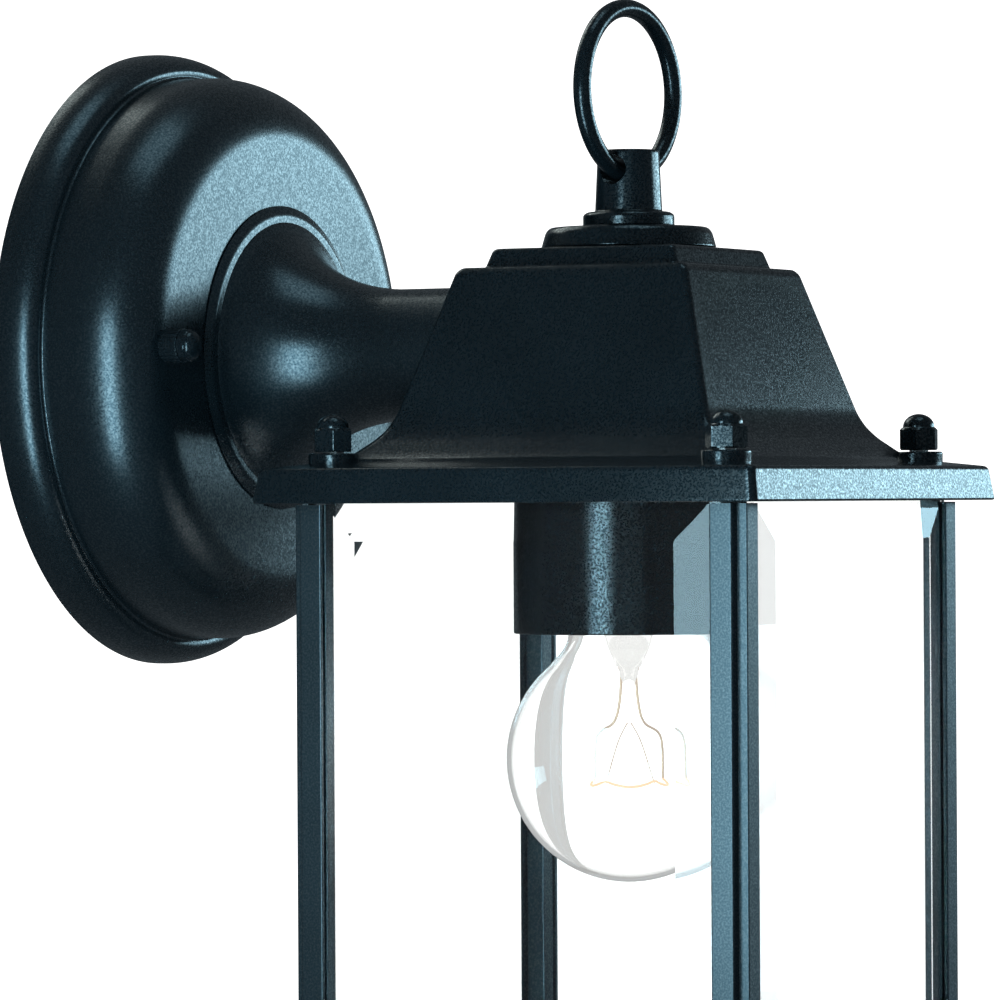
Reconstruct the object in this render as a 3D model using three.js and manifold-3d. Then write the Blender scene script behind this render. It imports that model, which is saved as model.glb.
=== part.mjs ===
// Outdoor wall lantern: a square glazed lantern on a short trumpet arm and a round wall canopy.
// Millimetres, +Z up. The origin is the centre of the canopy on the wall plane, and the wall is at Y = 0.
// The lantern hangs in front of the wall, towards -Y.
import * as THREE from "three";
import { mergeVertices } from "three/addons/utils/BufferGeometryUtils.js";
import Module from "manifold-3d";

const wasm = await Module();
wasm.setup();

// ---------------------------------------------------------------- driving sizes
const GAP = 0.3; // air between faces that touch
const SHAFT_PLAY = 0.35; // radial play of a screw or pipe in its hole

// overall places
const AXIS_OUT = 114; // wall to lantern axis
const BRIM_DROP = 31.2; // canopy centre down to the underside of the brim

// canopy, a spun shell
const RIM_R = 65.5;
const DRUM_R = 60;
const FACE_R = 46;
const CANOPY_DEPTH = 30.6;
const CANOPY_WALL = 1.4;
const RIM_DEPTH = 8.9;
const SHOULDER_DEPTH = 15.6;

// crossbar behind the canopy, and the studs and nuts that hold the canopy on it
const BAR_LENGTH = 108;
const BAR_WIDTH = 18;
const BAR_THICK = 1.8;
const STUD_SPREAD = 94;
const STUD_RISE = 1.5;
const STUD_R = 2;
const SLOT_IN = 28; // bar's middle to the near end of a box-screw slot
const SLOT_OUT = 40;
const SLOT_HALF_WIDTH = 2.4;
const WIRE_HOLE_R = 7;
const GROUND_X = 15;
const STUD_HEAD = 2; // heads of studs and screws, times their own radius
const CAP_NUT_R = 3.65;
const CAP_NUT_COLLAR = 4.2;
const CAP_NUT_HEX = 2.1;
const GASKET_IN = 57.4;
const GASKET_OUT = 62;
const GASKET_THICK = 2;

// arm
const FOOT_R = 32.3;
const FOOT_TOP_R = 30.3;
const TRUMPET_R = 28.6;
const TUBE_R = 13.9;
const ARM_WALL = 2.2;
const FLARE_LENGTH = 28;
const FOOT_HEIGHT = 1;

// threaded pipes and their nuts
const PIPE_R = 4.8;
const PIPE_BORE = 3.3;
const PIPE_NUT_R = 8.2;
const PIPE_NUT_H = 3.5;

// lantern body
const POST_HALF = 51.3; // axis to the outer face of a post
const POST_SIDE = 7.2;
const POST_NOTCH = 2.3;
const LIP = 1; // outer lip of the glazing groove
const GROOVE_REACH = 2.4;
const BODY_HEIGHT = 112; // underside of the brim to the top of the base frame
const PANE_THICK = 2.8;
const PANE_EDGE = 1.6;
const PANE_PLAY = 0.4; // between a pane's edge and the lip in front of it
const PANE_BACK_PLAY = 0.1; // between a pane's back and the groove's back
const PANE_BEVEL = 10;
const PANE_SINK = 2.3; // how far a pane reaches into the roof and the base
const GROOVE = PANE_EDGE + PANE_PLAY + PANE_BACK_PLAY;
const TAB_THICK = 2.7;
const TAB_REACH = 11;

// roof casting: half sides and heights above the underside of the brim
const BRIM_OVERHANG = 5.85; // beyond the posts
const BRIM_HALF = POST_HALF + BRIM_OVERHANG;
const BRIM_HEIGHT = 7.1;
const BRIM_DRAFT = 1.1;
const EAVE_INSET = 15.7; // in from the posts' outer faces
const EAVE_HALF = POST_HALF - EAVE_INSET;
const EAVE_Z = 18;
const ROOF_FALL = 9; // how much the pyramid narrows on each side
const ROOF_TOP_HALF = EAVE_HALF - ROOF_FALL;
const ROOF_TOP_Z = 48.1;
const ROOF_WALL = 2.6;
const STEP_INSET = 4.5;
const STEP_HALF = ROOF_TOP_HALF - STEP_INSET;
const STEP_HEIGHT = 4;
const STEP_DRAFT = 1.2;

// finial
const DISC_R = 18.1;
const DISC_HEIGHT = 4.2;
const COLLAR_R = 9.45;
const COLLAR_HEIGHT = 3;
const STEM_R = 6.95;
const STEM_HEIGHT = 12.8;
const STEM_TAPER = 0.6;
const RING_R = 17.1;
const RING_WIRE = 1.87;
const RING_TURN = -5.6; // degrees from the wall's line
const RING_HOLE_DROP = 4.25; // stem top down to the cross hole

// corner fastenings
const NUT_INSET = 6.5; // in from the posts' outer faces
const NUT_PLACE = POST_HALF - NUT_INSET;
const BOSS_R = 5;
const BOSS_Z = 10.2;
const NUT_R = 4.3;
const NUT_HEX_H = 4.7;
const NUT_DOME_R = 3.3;

// base frame
const BASE_OVERHANG = 2.7; // beyond the posts
const BASE_HALF = POST_HALF + BASE_OVERHANG;
const BASE_HEIGHT = 8;
const BASE_FLANGE = 22; // base frame's outer side to its opening
const BASE_OPEN = BASE_HALF - BASE_FLANGE;
const BASE_WEB = 2.6;

// lampholder
const CUP_WALL = 0.9;
const CUP_MOUTH = -27;
const CUP_TOP = 12;
const HOLDER_TOP = 9;
const HOLDER_WALL = 3.25; // porcelain round the screw shell
const CUP_AIR = 5.4; // between the porcelain and the cup
const SHELL_WALL = 0.5;
const SCREW_PLAY = 0.35;
const LEAD_SPREAD = 11;
const WIRE_R = 0.95;

// lamp
const CAP_R = 13;
const CAP_WALL = 0.6;
const CAP_BOTTOM = -24.5;
const CAP_TOP = -3;
const GLOBE_R = 25.3;
const GLOBE_Z = -53;
const GLASS_WALL = 0.9;

const screwShellIn = CAP_R + SCREW_PLAY;
const screwShellOut = screwShellIn + SHELL_WALL;
const HOLDER_R = screwShellOut + GAP + HOLDER_WALL;
const CUP_R = HOLDER_R + CUP_AIR + CUP_WALL;

// ---------------------------------------------------------------- helpers
const rad = THREE.MathUtils.degToRad;
const v3 = (x, y, z) => new THREE.Vector3(x, y, z);

// A closed geometry as a solid; faces end up pointing out whichever way its outline ran.
function solid(geometry) {
  const bare = geometry.index ? geometry.toNonIndexed() : geometry.clone();
  bare.deleteAttribute("normal");
  bare.deleteAttribute("uv");
  const merged = mergeVertices(bare, 1e-4);
  const triVerts = new Uint32Array(merged.index.array);
  const make = () =>
    new wasm.Manifold(
      new wasm.Mesh({ numProp: 3, vertProperties: merged.attributes.position.array, triVerts }),
    );
  const made = make();
  if (made.volume() > 0) return made;
  for (let i = 0; i < triVerts.length; i += 3) {
    [triVerts[i + 1], triVerts[i + 2]] = [triVerts[i + 2], triVerts[i + 1]];
  }
  return make();
}

function geometryOf(body) {
  const mesh = body.getMesh();
  const count = mesh.numProp;
  const positions = new Float32Array(mesh.numVert * 3);
  for (let i = 0; i < mesh.numVert; i++) {
    positions.set(mesh.vertProperties.subarray(i * count, i * count + 3), i * 3);
  }
  return new THREE.BufferGeometry()
    .setAttribute("position", new THREE.BufferAttribute(positions, 3))
    .setIndex(new THREE.BufferAttribute(new Uint32Array(mesh.triVerts), 1));
}

const cut = (body, ...tools) => tools.reduce((rest, tool) => rest.subtract(tool), body);
const join = (body, ...others) => others.reduce((sum, other) => sum.add(other), body);

// Outline of [radius, height] pairs turned about +Z. It closes on itself or ends on the axis.
function turned(outline, segments = 32, startAngle = 0) {
  const points = outline.map(([r, z]) => new THREE.Vector2(r, z));
  const first = points[0];
  const last = points[points.length - 1];
  if (first.x > 0 || last.x > 0) points.push(first.clone());
  return new THREE.LatheGeometry(points, segments, startAngle).rotateX(Math.PI / 2);
}

// The same for a square section: [half side, height] pairs, with the sides square to X and Y.
function squareTurned(outline) {
  const corners = outline.map(([half, z]) => [half * Math.SQRT2, z]);
  return turned(corners, 4, Math.PI / 4);
}

// Outline of [radius, distance from the wall] pairs turned about the canopy's axis.
const turnedOut = (outline, segments) => turned(outline, segments).rotateX(Math.PI / 2);

function rod(radius, z0, z1, segments = 16) {
  return new THREE.CylinderGeometry(radius, radius, z1 - z0, segments)
    .rotateX(Math.PI / 2)
    .translate(0, 0, (z0 + z1) / 2);
}

// A rod along the canopy's axis, from one distance off the wall to another.
const rodOut = (radius, y0, y1, segments) => rod(radius, y0, y1, segments).rotateX(Math.PI / 2);

function block(x0, x1, y0, y1, z0, z1) {
  return new THREE.BoxGeometry(x1 - x0, y1 - y0, z1 - z0).translate(
    (x0 + x1) / 2,
    (y0 + y1) / 2,
    (z0 + z1) / 2,
  );
}

function wireAlong(points, radius, steps, sides = 6) {
  const section = new THREE.Shape();
  for (let i = 0; i < sides; i++) {
    const a = (i / sides) * 2 * Math.PI;
    if (i === 0) section.moveTo(radius, 0);
    else section.lineTo(radius * Math.cos(a), radius * Math.sin(a));
  }
  const extrudePath = new THREE.CatmullRomCurve3(points, false, "centripetal");
  return new THREE.ExtrudeGeometry(section, { steps, extrudePath, bevelEnabled: false });
}

// Points of an arc of an ellipse about [cx, cy], from one angle in degrees to another.
function arc(cx, cy, a, b, from, to, count) {
  return Array.from({ length: count + 1 }, (_, i) => {
    const t = rad(from + ((to - from) * i) / count);
    return [cx + a * Math.cos(t), cy + b * Math.sin(t)];
  });
}

// ---------------------------------------------------------------- finishes
const finish = (color, roughness, metalness, extra = {}) => () =>
  new THREE.MeshStandardMaterial({ color, roughness, metalness, ...extra });
const blackSpun = finish("#14191c", 0.35, 0.4);
const blackCast = finish("#181d21", 0.55, 0.4);
const clearGlass = finish("#eef6f8", 0.03, 0, { transparent: true, opacity: 0.2 });
const zinc = finish("#b4b8ba", 0.35, 1);
const brass = finish("#b8923f", 0.35, 1);
const porcelain = finish("#e8e4da", 0.3, 0);
const darkGlass = finish("#22201e", 0.2, 0);
const aluminium = finish("#c9ccce", 0.3, 1);
const tungsten = finish("#6a6662", 0.5, 1);
const blackWire = finish("#101010", 0.5, 0);
const whiteWire = finish("#e6e4de", 0.5, 0);
const greenWire = finish("#2c7a3c", 0.5, 0);
const greenPaint = finish("#2f8a45", 0.4, 0.3);
const foam = finish("#26282a", 0.95, 0);
const redCap = finish("#a8322a", 0.45, 0);

const lanternPart = new THREE.Group(); // the exported group
const lantern = new THREE.Group(); // local origin: lantern axis at the underside of the brim
lantern.position.set(0, -AXIS_OUT, -BRIM_DROP);
lanternPart.add(lantern);

function place(parent, name, shape, material) {
  const body = shape.isBufferGeometry ? solid(shape) : shape;
  const mesh = new THREE.Mesh(geometryOf(body), material());
  mesh.name = name;
  parent.add(mesh);
  return mesh;
}

// ---------------------------------------------------------------- canopy and its fixings
const shoulderY = CANOPY_DEPTH - SHOULDER_DEPTH;
const studX = STUD_SPREAD / 2;
const studHole = STUD_R + SHAFT_PLAY;

function canopy() {
  const w = CANOPY_WALL;
  const shoulder = SHOULDER_DEPTH;
  const bore = PIPE_R + SHAFT_PLAY;
  const outline = [
    [RIM_R, 0],
    [RIM_R, RIM_DEPTH * 0.25],
    [RIM_R - 0.5, RIM_DEPTH * 0.52],
    [RIM_R - 1.8, RIM_DEPTH * 0.78],
    [RIM_R - 3.3, RIM_DEPTH * 0.94],
    [DRUM_R + 0.9, RIM_DEPTH],
    [DRUM_R + 0.3, RIM_DEPTH + 0.9],
    ...arc(FACE_R, shoulderY, DRUM_R - FACE_R, shoulder, 0, 90, 6),
    [bore, CANOPY_DEPTH],
    [bore, CANOPY_DEPTH - w],
    ...arc(FACE_R, shoulderY, DRUM_R - FACE_R - w, shoulder - w, 90, 0, 4),
    [DRUM_R - w, RIM_DEPTH],
    [RIM_R - 3.3 - w / 2, RIM_DEPTH * 0.94 - w],
    [RIM_R - w, RIM_DEPTH * 0.4],
    [RIM_R - w, 0],
  ];
  const shell = solid(turnedOut(outline, 48));
  const holes = [-1, 1].map((side) =>
    solid(
      rodOut(studHole, CANOPY_DEPTH - 6, CANOPY_DEPTH + 2, 12).translate(side * studX, 0, STUD_RISE),
    ),
  );
  return cut(shell, ...holes);
}

function crossbar() {
  const half = BAR_LENGTH / 2;
  const z0 = STUD_RISE - BAR_WIDTH / 2;
  const z1 = STUD_RISE + BAR_WIDTH / 2;
  const bar = solid(block(-half, half, -BAR_THICK, 0, z0, z1));
  const through = [-1, BAR_THICK + 1];
  const slotMiddle = (SLOT_IN + SLOT_OUT) / 2;
  const slotHalf = (SLOT_OUT - SLOT_IN) / 2;
  const slotZ = [STUD_RISE - SLOT_HALF_WIDTH, STUD_RISE + SLOT_HALF_WIDTH];
  const slot = block(-slotHalf, slotHalf, -BAR_THICK - 1, 1, ...slotZ);
  const tools = [rodOut(WIRE_HOLE_R, ...through, 24).translate(0, 0, STUD_RISE)];
  for (const side of [-1, 1]) {
    tools.push(rodOut(studHole, ...through, 12).translate(side * studX, 0, STUD_RISE));
    tools.push(slot.clone().translate(side * slotMiddle, 0, 0));
  }
  tools.push(rodOut(studHole, ...through, 12).translate(GROUND_X, 0, STUD_RISE));
  return cut(bar, ...tools.map(solid));
}

const capNutTop = CANOPY_DEPTH + GAP + CAP_NUT_COLLAR + CAP_NUT_HEX;

function capNut() {
  const base = CANOPY_DEPTH + GAP;
  const collarTop = base + CAP_NUT_COLLAR;
  const body = join(
    solid(rodOut(CAP_NUT_R, base, collarTop, 16)),
    solid(rodOut(CAP_NUT_R, collarTop - 0.2, capNutTop, 6)),
    solid(
      new THREE.SphereGeometry(CAP_NUT_R * 0.8, 12, 8).translate(0, -capNutTop + CAP_NUT_R * 0.35, 0),
    ),
  );
  return cut(body, solid(rodOut(studHole, base - 1, collarTop + 1, 12)));
}

place(lanternPart, "backplate", canopy(), blackSpun);
place(
  lanternPart,
  "wall_gasket",
  turnedOut(
    [
      [GASKET_IN, 0],
      [GASKET_OUT, 0],
      [GASKET_OUT, GASKET_THICK],
      [GASKET_IN, GASKET_THICK],
    ],
    40,
  ),
  foam,
);
place(lanternPart, "crossbar", crossbar(), zinc);
for (const [side, label] of [
  [-1, "left"],
  [1, "right"],
]) {
  const stud = join(
    solid(rodOut(STUD_R, 0.4, capNutTop - 1.8, 12)),
    solid(rodOut(STUD_R * STUD_HEAD, BAR_THICK + GAP, BAR_THICK + GAP + 3, 6)),
  );
  place(lanternPart, "mounting_stud_" + label, stud, zinc).position.set(side * studX, 0, STUD_RISE);
  place(lanternPart, "cap_nut_" + label, capNut(), blackCast).position.set(side * studX, 0, STUD_RISE);
}
place(
  lanternPart,
  "ground_screw",
  join(
    solid(rodOut(STUD_R, 0.2, BAR_THICK + GAP + 0.5, 12)),
    solid(rodOut(STUD_R * STUD_HEAD, BAR_THICK + GAP, BAR_THICK + GAP + 2.4, 6)),
  ),
  greenPaint,
).position.set(GROUND_X, 0, STUD_RISE);

// ---------------------------------------------------------------- roof casting
const roofOuter = [
  [BRIM_HALF, 0],
  [BRIM_HALF - BRIM_DRAFT, BRIM_HEIGHT],
  [NUT_PLACE - 0.8, BRIM_HEIGHT + 1.6],
  [EAVE_HALF + 6.6, BRIM_HEIGHT + 2.9],
  [EAVE_HALF + 3, BRIM_HEIGHT + 6.1],
  [EAVE_HALF + 1.3, EAVE_Z - 2.6],
  [EAVE_HALF, EAVE_Z],
  [ROOF_TOP_HALF, ROOF_TOP_Z - 1],
  [ROOF_TOP_HALF - 1, ROOF_TOP_Z],
];
const roofTopZ = ROOF_TOP_Z + STEP_HEIGHT;
const ceilingZ = ROOF_TOP_Z - ROOF_WALL - 0.5;
const flangeIn = POST_HALF - TAB_REACH + 1.7;
const padIn = ROOF_TOP_HALF - 1.6;
const paneBack = POST_HALF - LIP - PANE_PLAY - PANE_EDGE;
const paneOuter = paneBack + PANE_THICK;
const grooveIn = POST_HALF - LIP - GROOVE - 0.5;
const grooveOut = paneOuter + 0.4;
const grooveDeep = PANE_SINK + GAP;

function cornerPocket(sx, sy) {
  const near = POST_HALF - LIP - GROOVE + GAP;
  const far = POST_HALF - TAB_REACH - GAP;
  return solid(
    block(
      Math.min(sx * near, sx * far),
      Math.max(sx * near, sx * far),
      Math.min(sy * near, sy * far),
      Math.max(sy * near, sy * far),
      -1,
      TAB_THICK + 3 * GAP,
    ),
  );
}

const corners = [
  [-1, -1],
  [1, -1],
  [1, 1],
  [-1, 1],
];

function roof() {
  const outline = [
    ...roofOuter,
    [STEP_HALF, ROOF_TOP_Z + 0.1],
    [STEP_HALF - STEP_DRAFT, roofTopZ - 0.5],
    [STEP_HALF - STEP_DRAFT - 0.6, roofTopZ],
    [0, roofTopZ],
    [0, ceilingZ],
    [ROOF_TOP_HALF - ROOF_WALL - 0.6, ceilingZ],
    [EAVE_HALF - ROOF_WALL - 0.4, EAVE_Z],
    [EAVE_HALF + 1, BRIM_HEIGHT + 1.4],
    [flangeIn, BRIM_HEIGHT - 2.4],
    [flangeIn, 0],
    [grooveIn, 0],
    [grooveIn, grooveDeep],
    [grooveOut, grooveDeep],
    [grooveOut, 0],
    [BRIM_HALF, 0],
  ];
  const shell = solid(squareTurned(outline));
  const bosses = corners.map(([sx, sy]) =>
    solid(rod(BOSS_R, BRIM_HEIGHT - 1, BOSS_Z, 16).translate(sx * NUT_PLACE, sy * NUT_PLACE, 0)),
  );
  const pad = solid(block(-9, 9, padIn, EAVE_HALF, BRIM_DROP - 9, BRIM_DROP + 9));
  const filled = solid(squareTurned([[0, 0], ...roofOuter, [0, ROOF_TOP_Z]]));
  const holes = corners.map(([sx, sy]) =>
    solid(rod(studHole, -1, BOSS_Z + 1, 12).translate(sx * NUT_PLACE, sy * NUT_PLACE, 0)),
  );
  const armHole = solid(rodOut(PIPE_R + SHAFT_PLAY, -45, -15, 24).translate(0, 0, BRIM_DROP));
  const topHole = solid(rod(PIPE_R + SHAFT_PLAY, ceilingZ - 2, roofTopZ + 2, 24));
  const pockets = corners.map(([sx, sy]) => cornerPocket(sx, sy));
  return cut(join(shell, pad.intersect(filled), ...bosses), ...holes, ...pockets, armHole, topHole);
}

place(lantern, "roof", roof(), blackCast);

// ---------------------------------------------------------------- arm
function arm() {
  const back = CANOPY_DEPTH + GAP;
  const face = back + FOOT_HEIGHT;
  const flare = new THREE.CubicBezierCurve(
    new THREE.Vector2(TRUMPET_R, face + 0.2),
    new THREE.Vector2(TUBE_R + 9.1, face + 1.7),
    new THREE.Vector2(TUBE_R + 0.6, face + 12.2),
    new THREE.Vector2(TUBE_R, face + FLARE_LENGTH),
  ).getPoints(8);
  const end = AXIS_OUT - 15;
  const inside = flare
    .slice(2)
    .map((p) => [Math.max(p.x - ARM_WALL, TUBE_R - ARM_WALL), p.y])
    .reverse();
  const outline = [
    [FOOT_R, back],
    [FOOT_TOP_R, face],
    ...flare.map((p) => [p.x, p.y]),
    [TUBE_R, end],
    [TUBE_R - ARM_WALL, end],
    ...inside,
    [inside[inside.length - 1][0] + 1.5, back],
  ];
  const tube = solid(turnedOut(outline, 32));
  const clearance = roofOuter.map(([half, z]) => [half + GAP + 0.05, z]);
  const envelope = solid(
    squareTurned([[0, -2], [BRIM_HALF, -2], ...clearance, [0, ROOF_TOP_Z + 1]]).translate(
      0,
      -AXIS_OUT,
      -BRIM_DROP,
    ),
  );
  return cut(tube, envelope);
}

place(lanternPart, "arm", arm(), blackSpun);

function pipeNut() {
  const hex = solid(rod(PIPE_NUT_R, 0, PIPE_NUT_H, 6));
  return cut(hex, solid(rod(PIPE_R + GAP, -1, PIPE_NUT_H + 1, 24)));
}

function pipe(z0, z1) {
  return turned(
    [
      [PIPE_BORE, z0],
      [PIPE_R, z0],
      [PIPE_R, z1],
      [PIPE_BORE, z1],
    ],
    20,
  );
}

const canopyInside = CANOPY_DEPTH - CANOPY_WALL;
const pipeBack = canopyInside - PIPE_NUT_H - 3;
const pipeFront = AXIS_OUT - padIn + PIPE_NUT_H + 2.5;
place(lanternPart, "arm_pipe", pipe(pipeBack, pipeFront).rotateX(Math.PI / 2), zinc);
place(lanternPart, "arm_nut_back", pipeNut(), zinc)
  .rotateX(Math.PI / 2)
  .position.set(0, -(canopyInside - GAP - PIPE_NUT_H), 0);
place(lanternPart, "arm_nut_front", pipeNut(), zinc)
  .rotateX(Math.PI / 2)
  .position.set(0, -(AXIS_OUT - padIn + GAP), 0);

// ---------------------------------------------------------------- finial and ring
const discBottom = roofTopZ + GAP;
const collarBottom = discBottom + DISC_HEIGHT + GAP;
const stemBottom = collarBottom + COLLAR_HEIGHT;
const stemTop = stemBottom + STEM_HEIGHT;
const ringHoleZ = stemTop - RING_HOLE_DROP;
const pipeTop = stemBottom + 1.5;
const endRise = RING_R - Math.sqrt(RING_R ** 2 - STEM_R ** 2); // rise of the wire across the stem
const ringHoleR = endRise / 2 + RING_WIRE * 1.1 + 0.35;

place(
  lantern,
  "finial_disc",
  turned(
    [
      [PIPE_R + SHAFT_PLAY, discBottom],
      [DISC_R, discBottom],
      [DISC_R, discBottom + 0.8],
      [DISC_R - 0.9, discBottom + DISC_HEIGHT - 0.8],
      [DISC_R - 1.7, discBottom + DISC_HEIGHT],
      [PIPE_R + SHAFT_PLAY, discBottom + DISC_HEIGHT],
    ],
    32,
  ),
  blackCast,
);

function finialStem() {
  const bore = PIPE_R + SHAFT_PLAY;
  const body = solid(
    turned(
      [
        [bore, collarBottom],
        [COLLAR_R, collarBottom],
        [COLLAR_R, stemBottom - 0.9],
        [COLLAR_R - 0.7, stemBottom - 0.3],
        [STEM_R, stemBottom],
        [STEM_R - STEM_TAPER, stemTop - 0.3],
        [STEM_R - STEM_TAPER - 0.3, stemTop],
        [0, stemTop],
        [0, pipeTop + GAP],
        [bore, pipeTop + GAP],
      ],
      24,
    ),
  );
  const crossHole = new THREE.CylinderGeometry(ringHoleR, ringHoleR, 30, 20)
    .rotateZ(Math.PI / 2)
    .rotateZ(rad(RING_TURN))
    .translate(0, 0, ringHoleZ);
  return cut(body, solid(crossHole));
}

place(lantern, "finial_stem", finialStem(), blackCast);
const ring = place(
  lantern,
  "finial_ring",
  new THREE.TorusGeometry(RING_R, RING_WIRE, 8, 36).rotateX(Math.PI / 2),
  blackCast,
);
ring.rotation.z = rad(RING_TURN);
ring.position.z = ringHoleZ + RING_R - endRise / 2;

// ---------------------------------------------------------------- posts, panes and corner fastenings
const postTop = -GAP;
const postBottom = -BODY_HEIGHT + GAP;
const legOut = LIP + GROOVE;

// Section of a post in distances inwards from its outer corner, the same along both faces.
function postSection() {
  const half = [
    [POST_NOTCH, POST_NOTCH],
    [POST_NOTCH, 0],
    [POST_SIDE, 0],
    [POST_SIDE, LIP],
    [POST_SIDE - GROOVE_REACH, LIP],
    [POST_SIDE - GROOVE_REACH, legOut],
    [POST_SIDE, legOut],
    [POST_SIDE, POST_SIDE],
  ];
  const mirrored = half
    .slice(1, -1)
    .map(([a, b]) => [b, a])
    .reverse();
  return new THREE.Shape([...half, ...mirrored].map(([a, b]) => new THREE.Vector2(a, b)));
}

// A post for the corner at -X -Y; the others are the same piece turned about the lantern axis.
function post() {
  const bar = new THREE.ExtrudeGeometry(postSection(), {
    depth: postTop - postBottom,
    bevelEnabled: false,
  }).translate(0, 0, postBottom);
  const tabArea = [legOut, TAB_REACH, legOut, TAB_REACH];
  const legArea = [legOut, POST_SIDE, legOut, POST_SIDE];
  const stub = block(...legArea, postBottom - TAB_THICK, postTop + TAB_THICK + GAP);
  const topTab = block(...tabArea, 2 * GAP, postTop + TAB_THICK + GAP);
  const bottomTab = block(...tabArea, postBottom - TAB_THICK, -BODY_HEIGHT - GAP);
  const inset = POST_HALF - NUT_PLACE;
  const holes = [
    rod(studHole, 0, 2 * TAB_THICK, 12),
    rod(studHole, -BODY_HEIGHT - 2 * TAB_THICK, -BODY_HEIGHT, 12),
  ].map((hole) => solid(hole.translate(inset, inset, 0)));
  const whole = join(solid(bar), solid(stub), solid(topTab), solid(bottomTab));
  return cut(whole, ...holes).translate([-POST_HALF, -POST_HALF, 0]);
}

// A stud is fixed in the post's top tab and carries an acorn nut above the brim.
const nutBase = BOSS_Z + GAP;
const nutTop = nutBase + NUT_HEX_H;

function acornNut() {
  const dome = new THREE.SphereGeometry(NUT_DOME_R, 14, 8).translate(0, 0, nutTop - 0.4);
  const body = join(solid(rod(NUT_R, nutBase, nutTop, 6)), solid(dome));
  return cut(body, solid(rod(STUD_R + GAP, nutBase - 1, nutTop - 0.5, 12)));
}

// A bevelled pane standing across -Y: flat back, thick middle, thin edge all round.
function pane() {
  const halfWidth = POST_HALF - POST_SIDE + GROOVE_REACH - GAP;
  const top = PANE_SINK;
  const bottom = -BODY_HEIGHT - PANE_SINK;
  const back = paneBack;
  const middle = (top + bottom) / 2;
  const halfHeight = (top - bottom) / 2;
  const slab = block(-halfWidth, halfWidth, -back - PANE_THICK, -back, bottom, top);
  const fall = PANE_THICK - PANE_EDGE;
  const planes = [0, 1, 2, 3].map((side) => {
    const reach = side % 2 ? halfHeight : halfWidth;
    const wedge = new THREE.Shape([
      new THREE.Vector2(reach - PANE_BEVEL, -back - PANE_THICK),
      new THREE.Vector2(reach + 1, -back - PANE_EDGE + fall / PANE_BEVEL),
      new THREE.Vector2(reach + 1, -back - PANE_THICK - 1),
      new THREE.Vector2(reach - PANE_BEVEL, -back - PANE_THICK - 1),
    ]);
    const length = 3 * BODY_HEIGHT;
    const tool = new THREE.ExtrudeGeometry(wedge, { depth: length, bevelEnabled: false });
    return solid(
      tool
        .translate(0, 0, -length / 2)
        .rotateY((side * Math.PI) / 2)
        .translate(0, 0, middle),
    );
  });
  return cut(solid(slab), ...planes);
}

corners.forEach(([sx, sy], i) => {
  const corner = new THREE.Group();
  corner.rotation.z = (i * Math.PI) / 2;
  lantern.add(corner);
  const label = ["front_left", "front_right", "back_right", "back_left"][i];
  place(corner, "post_" + label, post(), blackCast);
  const stud = place(lantern, "post_stud_" + label, rod(STUD_R, GAP, nutTop - 1.2, 10), zinc);
  const nut = place(lantern, "acorn_nut_" + label, acornNut(), blackCast);
  const baseBottom = -BODY_HEIGHT - BASE_HEIGHT;
  const screw = join(
    solid(rod(STUD_R, baseBottom + GAP, -BODY_HEIGHT - GAP, 10)),
    solid(rod(STUD_R * STUD_HEAD, baseBottom, baseBottom + BASE_WEB - GAP, 12)),
  );
  const baseScrew = place(lantern, "base_screw_" + label, screw, zinc);
  for (const piece of [stud, nut, baseScrew]) {
    piece.position.set(sx * NUT_PLACE, sy * NUT_PLACE, 0);
  }
});
["front", "right", "back", "left"].forEach((label, i) => {
  place(lantern, "glass_" + label, pane(), clearGlass).rotation.z = (i * Math.PI) / 2;
});

// ---------------------------------------------------------------- base frame
function baseFrame() {
  const top = -BODY_HEIGHT;
  const bottom = top - BASE_HEIGHT;
  const frame = solid(
    squareTurned([
      [BASE_OPEN, bottom],
      [BASE_HALF, bottom],
      [BASE_HALF, bottom + 3.4],
      [BASE_HALF - 1.6, top],
      [grooveOut, top],
      [grooveOut, top - grooveDeep],
      [grooveIn, top - grooveDeep],
      [grooveIn, top],
      [flangeIn, top],
      [flangeIn, bottom + BASE_WEB],
      [BASE_OPEN, bottom + BASE_WEB],
    ]),
  );
  const tools = corners.flatMap(([sx, sy]) => {
    const pocket = cornerPocket(sx, sy).rotate([180, 0, 0]).translate([0, 0, top]);
    const at = [sx * NUT_PLACE, sy * NUT_PLACE, 0];
    const counterboreR = STUD_R * STUD_HEAD + GAP;
    const counterbore = rod(counterboreR, bottom - 1, bottom + BASE_WEB, 12).translate(...at);
    return [pocket, solid(rod(studHole, bottom - 1, top + 1, 12).translate(...at)), solid(counterbore)];
  });
  return cut(frame, ...tools);
}

place(lantern, "base_frame", baseFrame(), blackCast);

// ---------------------------------------------------------------- lampholder
function socketCup() {
  const cup = solid(
    turned(
      [
        [PIPE_R + SHAFT_PLAY, CUP_TOP - CUP_WALL],
        [CUP_R - CUP_WALL, CUP_TOP - CUP_WALL],
        [CUP_R - CUP_WALL, CUP_MOUTH],
        [CUP_R, CUP_MOUTH],
        [CUP_R, CUP_TOP - 1.5],
        [CUP_R - 1.5, CUP_TOP],
        [PIPE_R + SHAFT_PLAY, CUP_TOP],
      ],
      32,
    ),
  );
  const leadHoles = [-1, 1].map((side) =>
    solid(rod(WIRE_R + 0.7, CUP_TOP - 3, CUP_TOP + 2, 12).translate(side * LEAD_SPREAD, 0, 0)),
  );
  return cut(cup, ...leadHoles);
}

const holderBottom = CAP_BOTTOM + 1.7;
const contactZ = 2.5;

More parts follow.
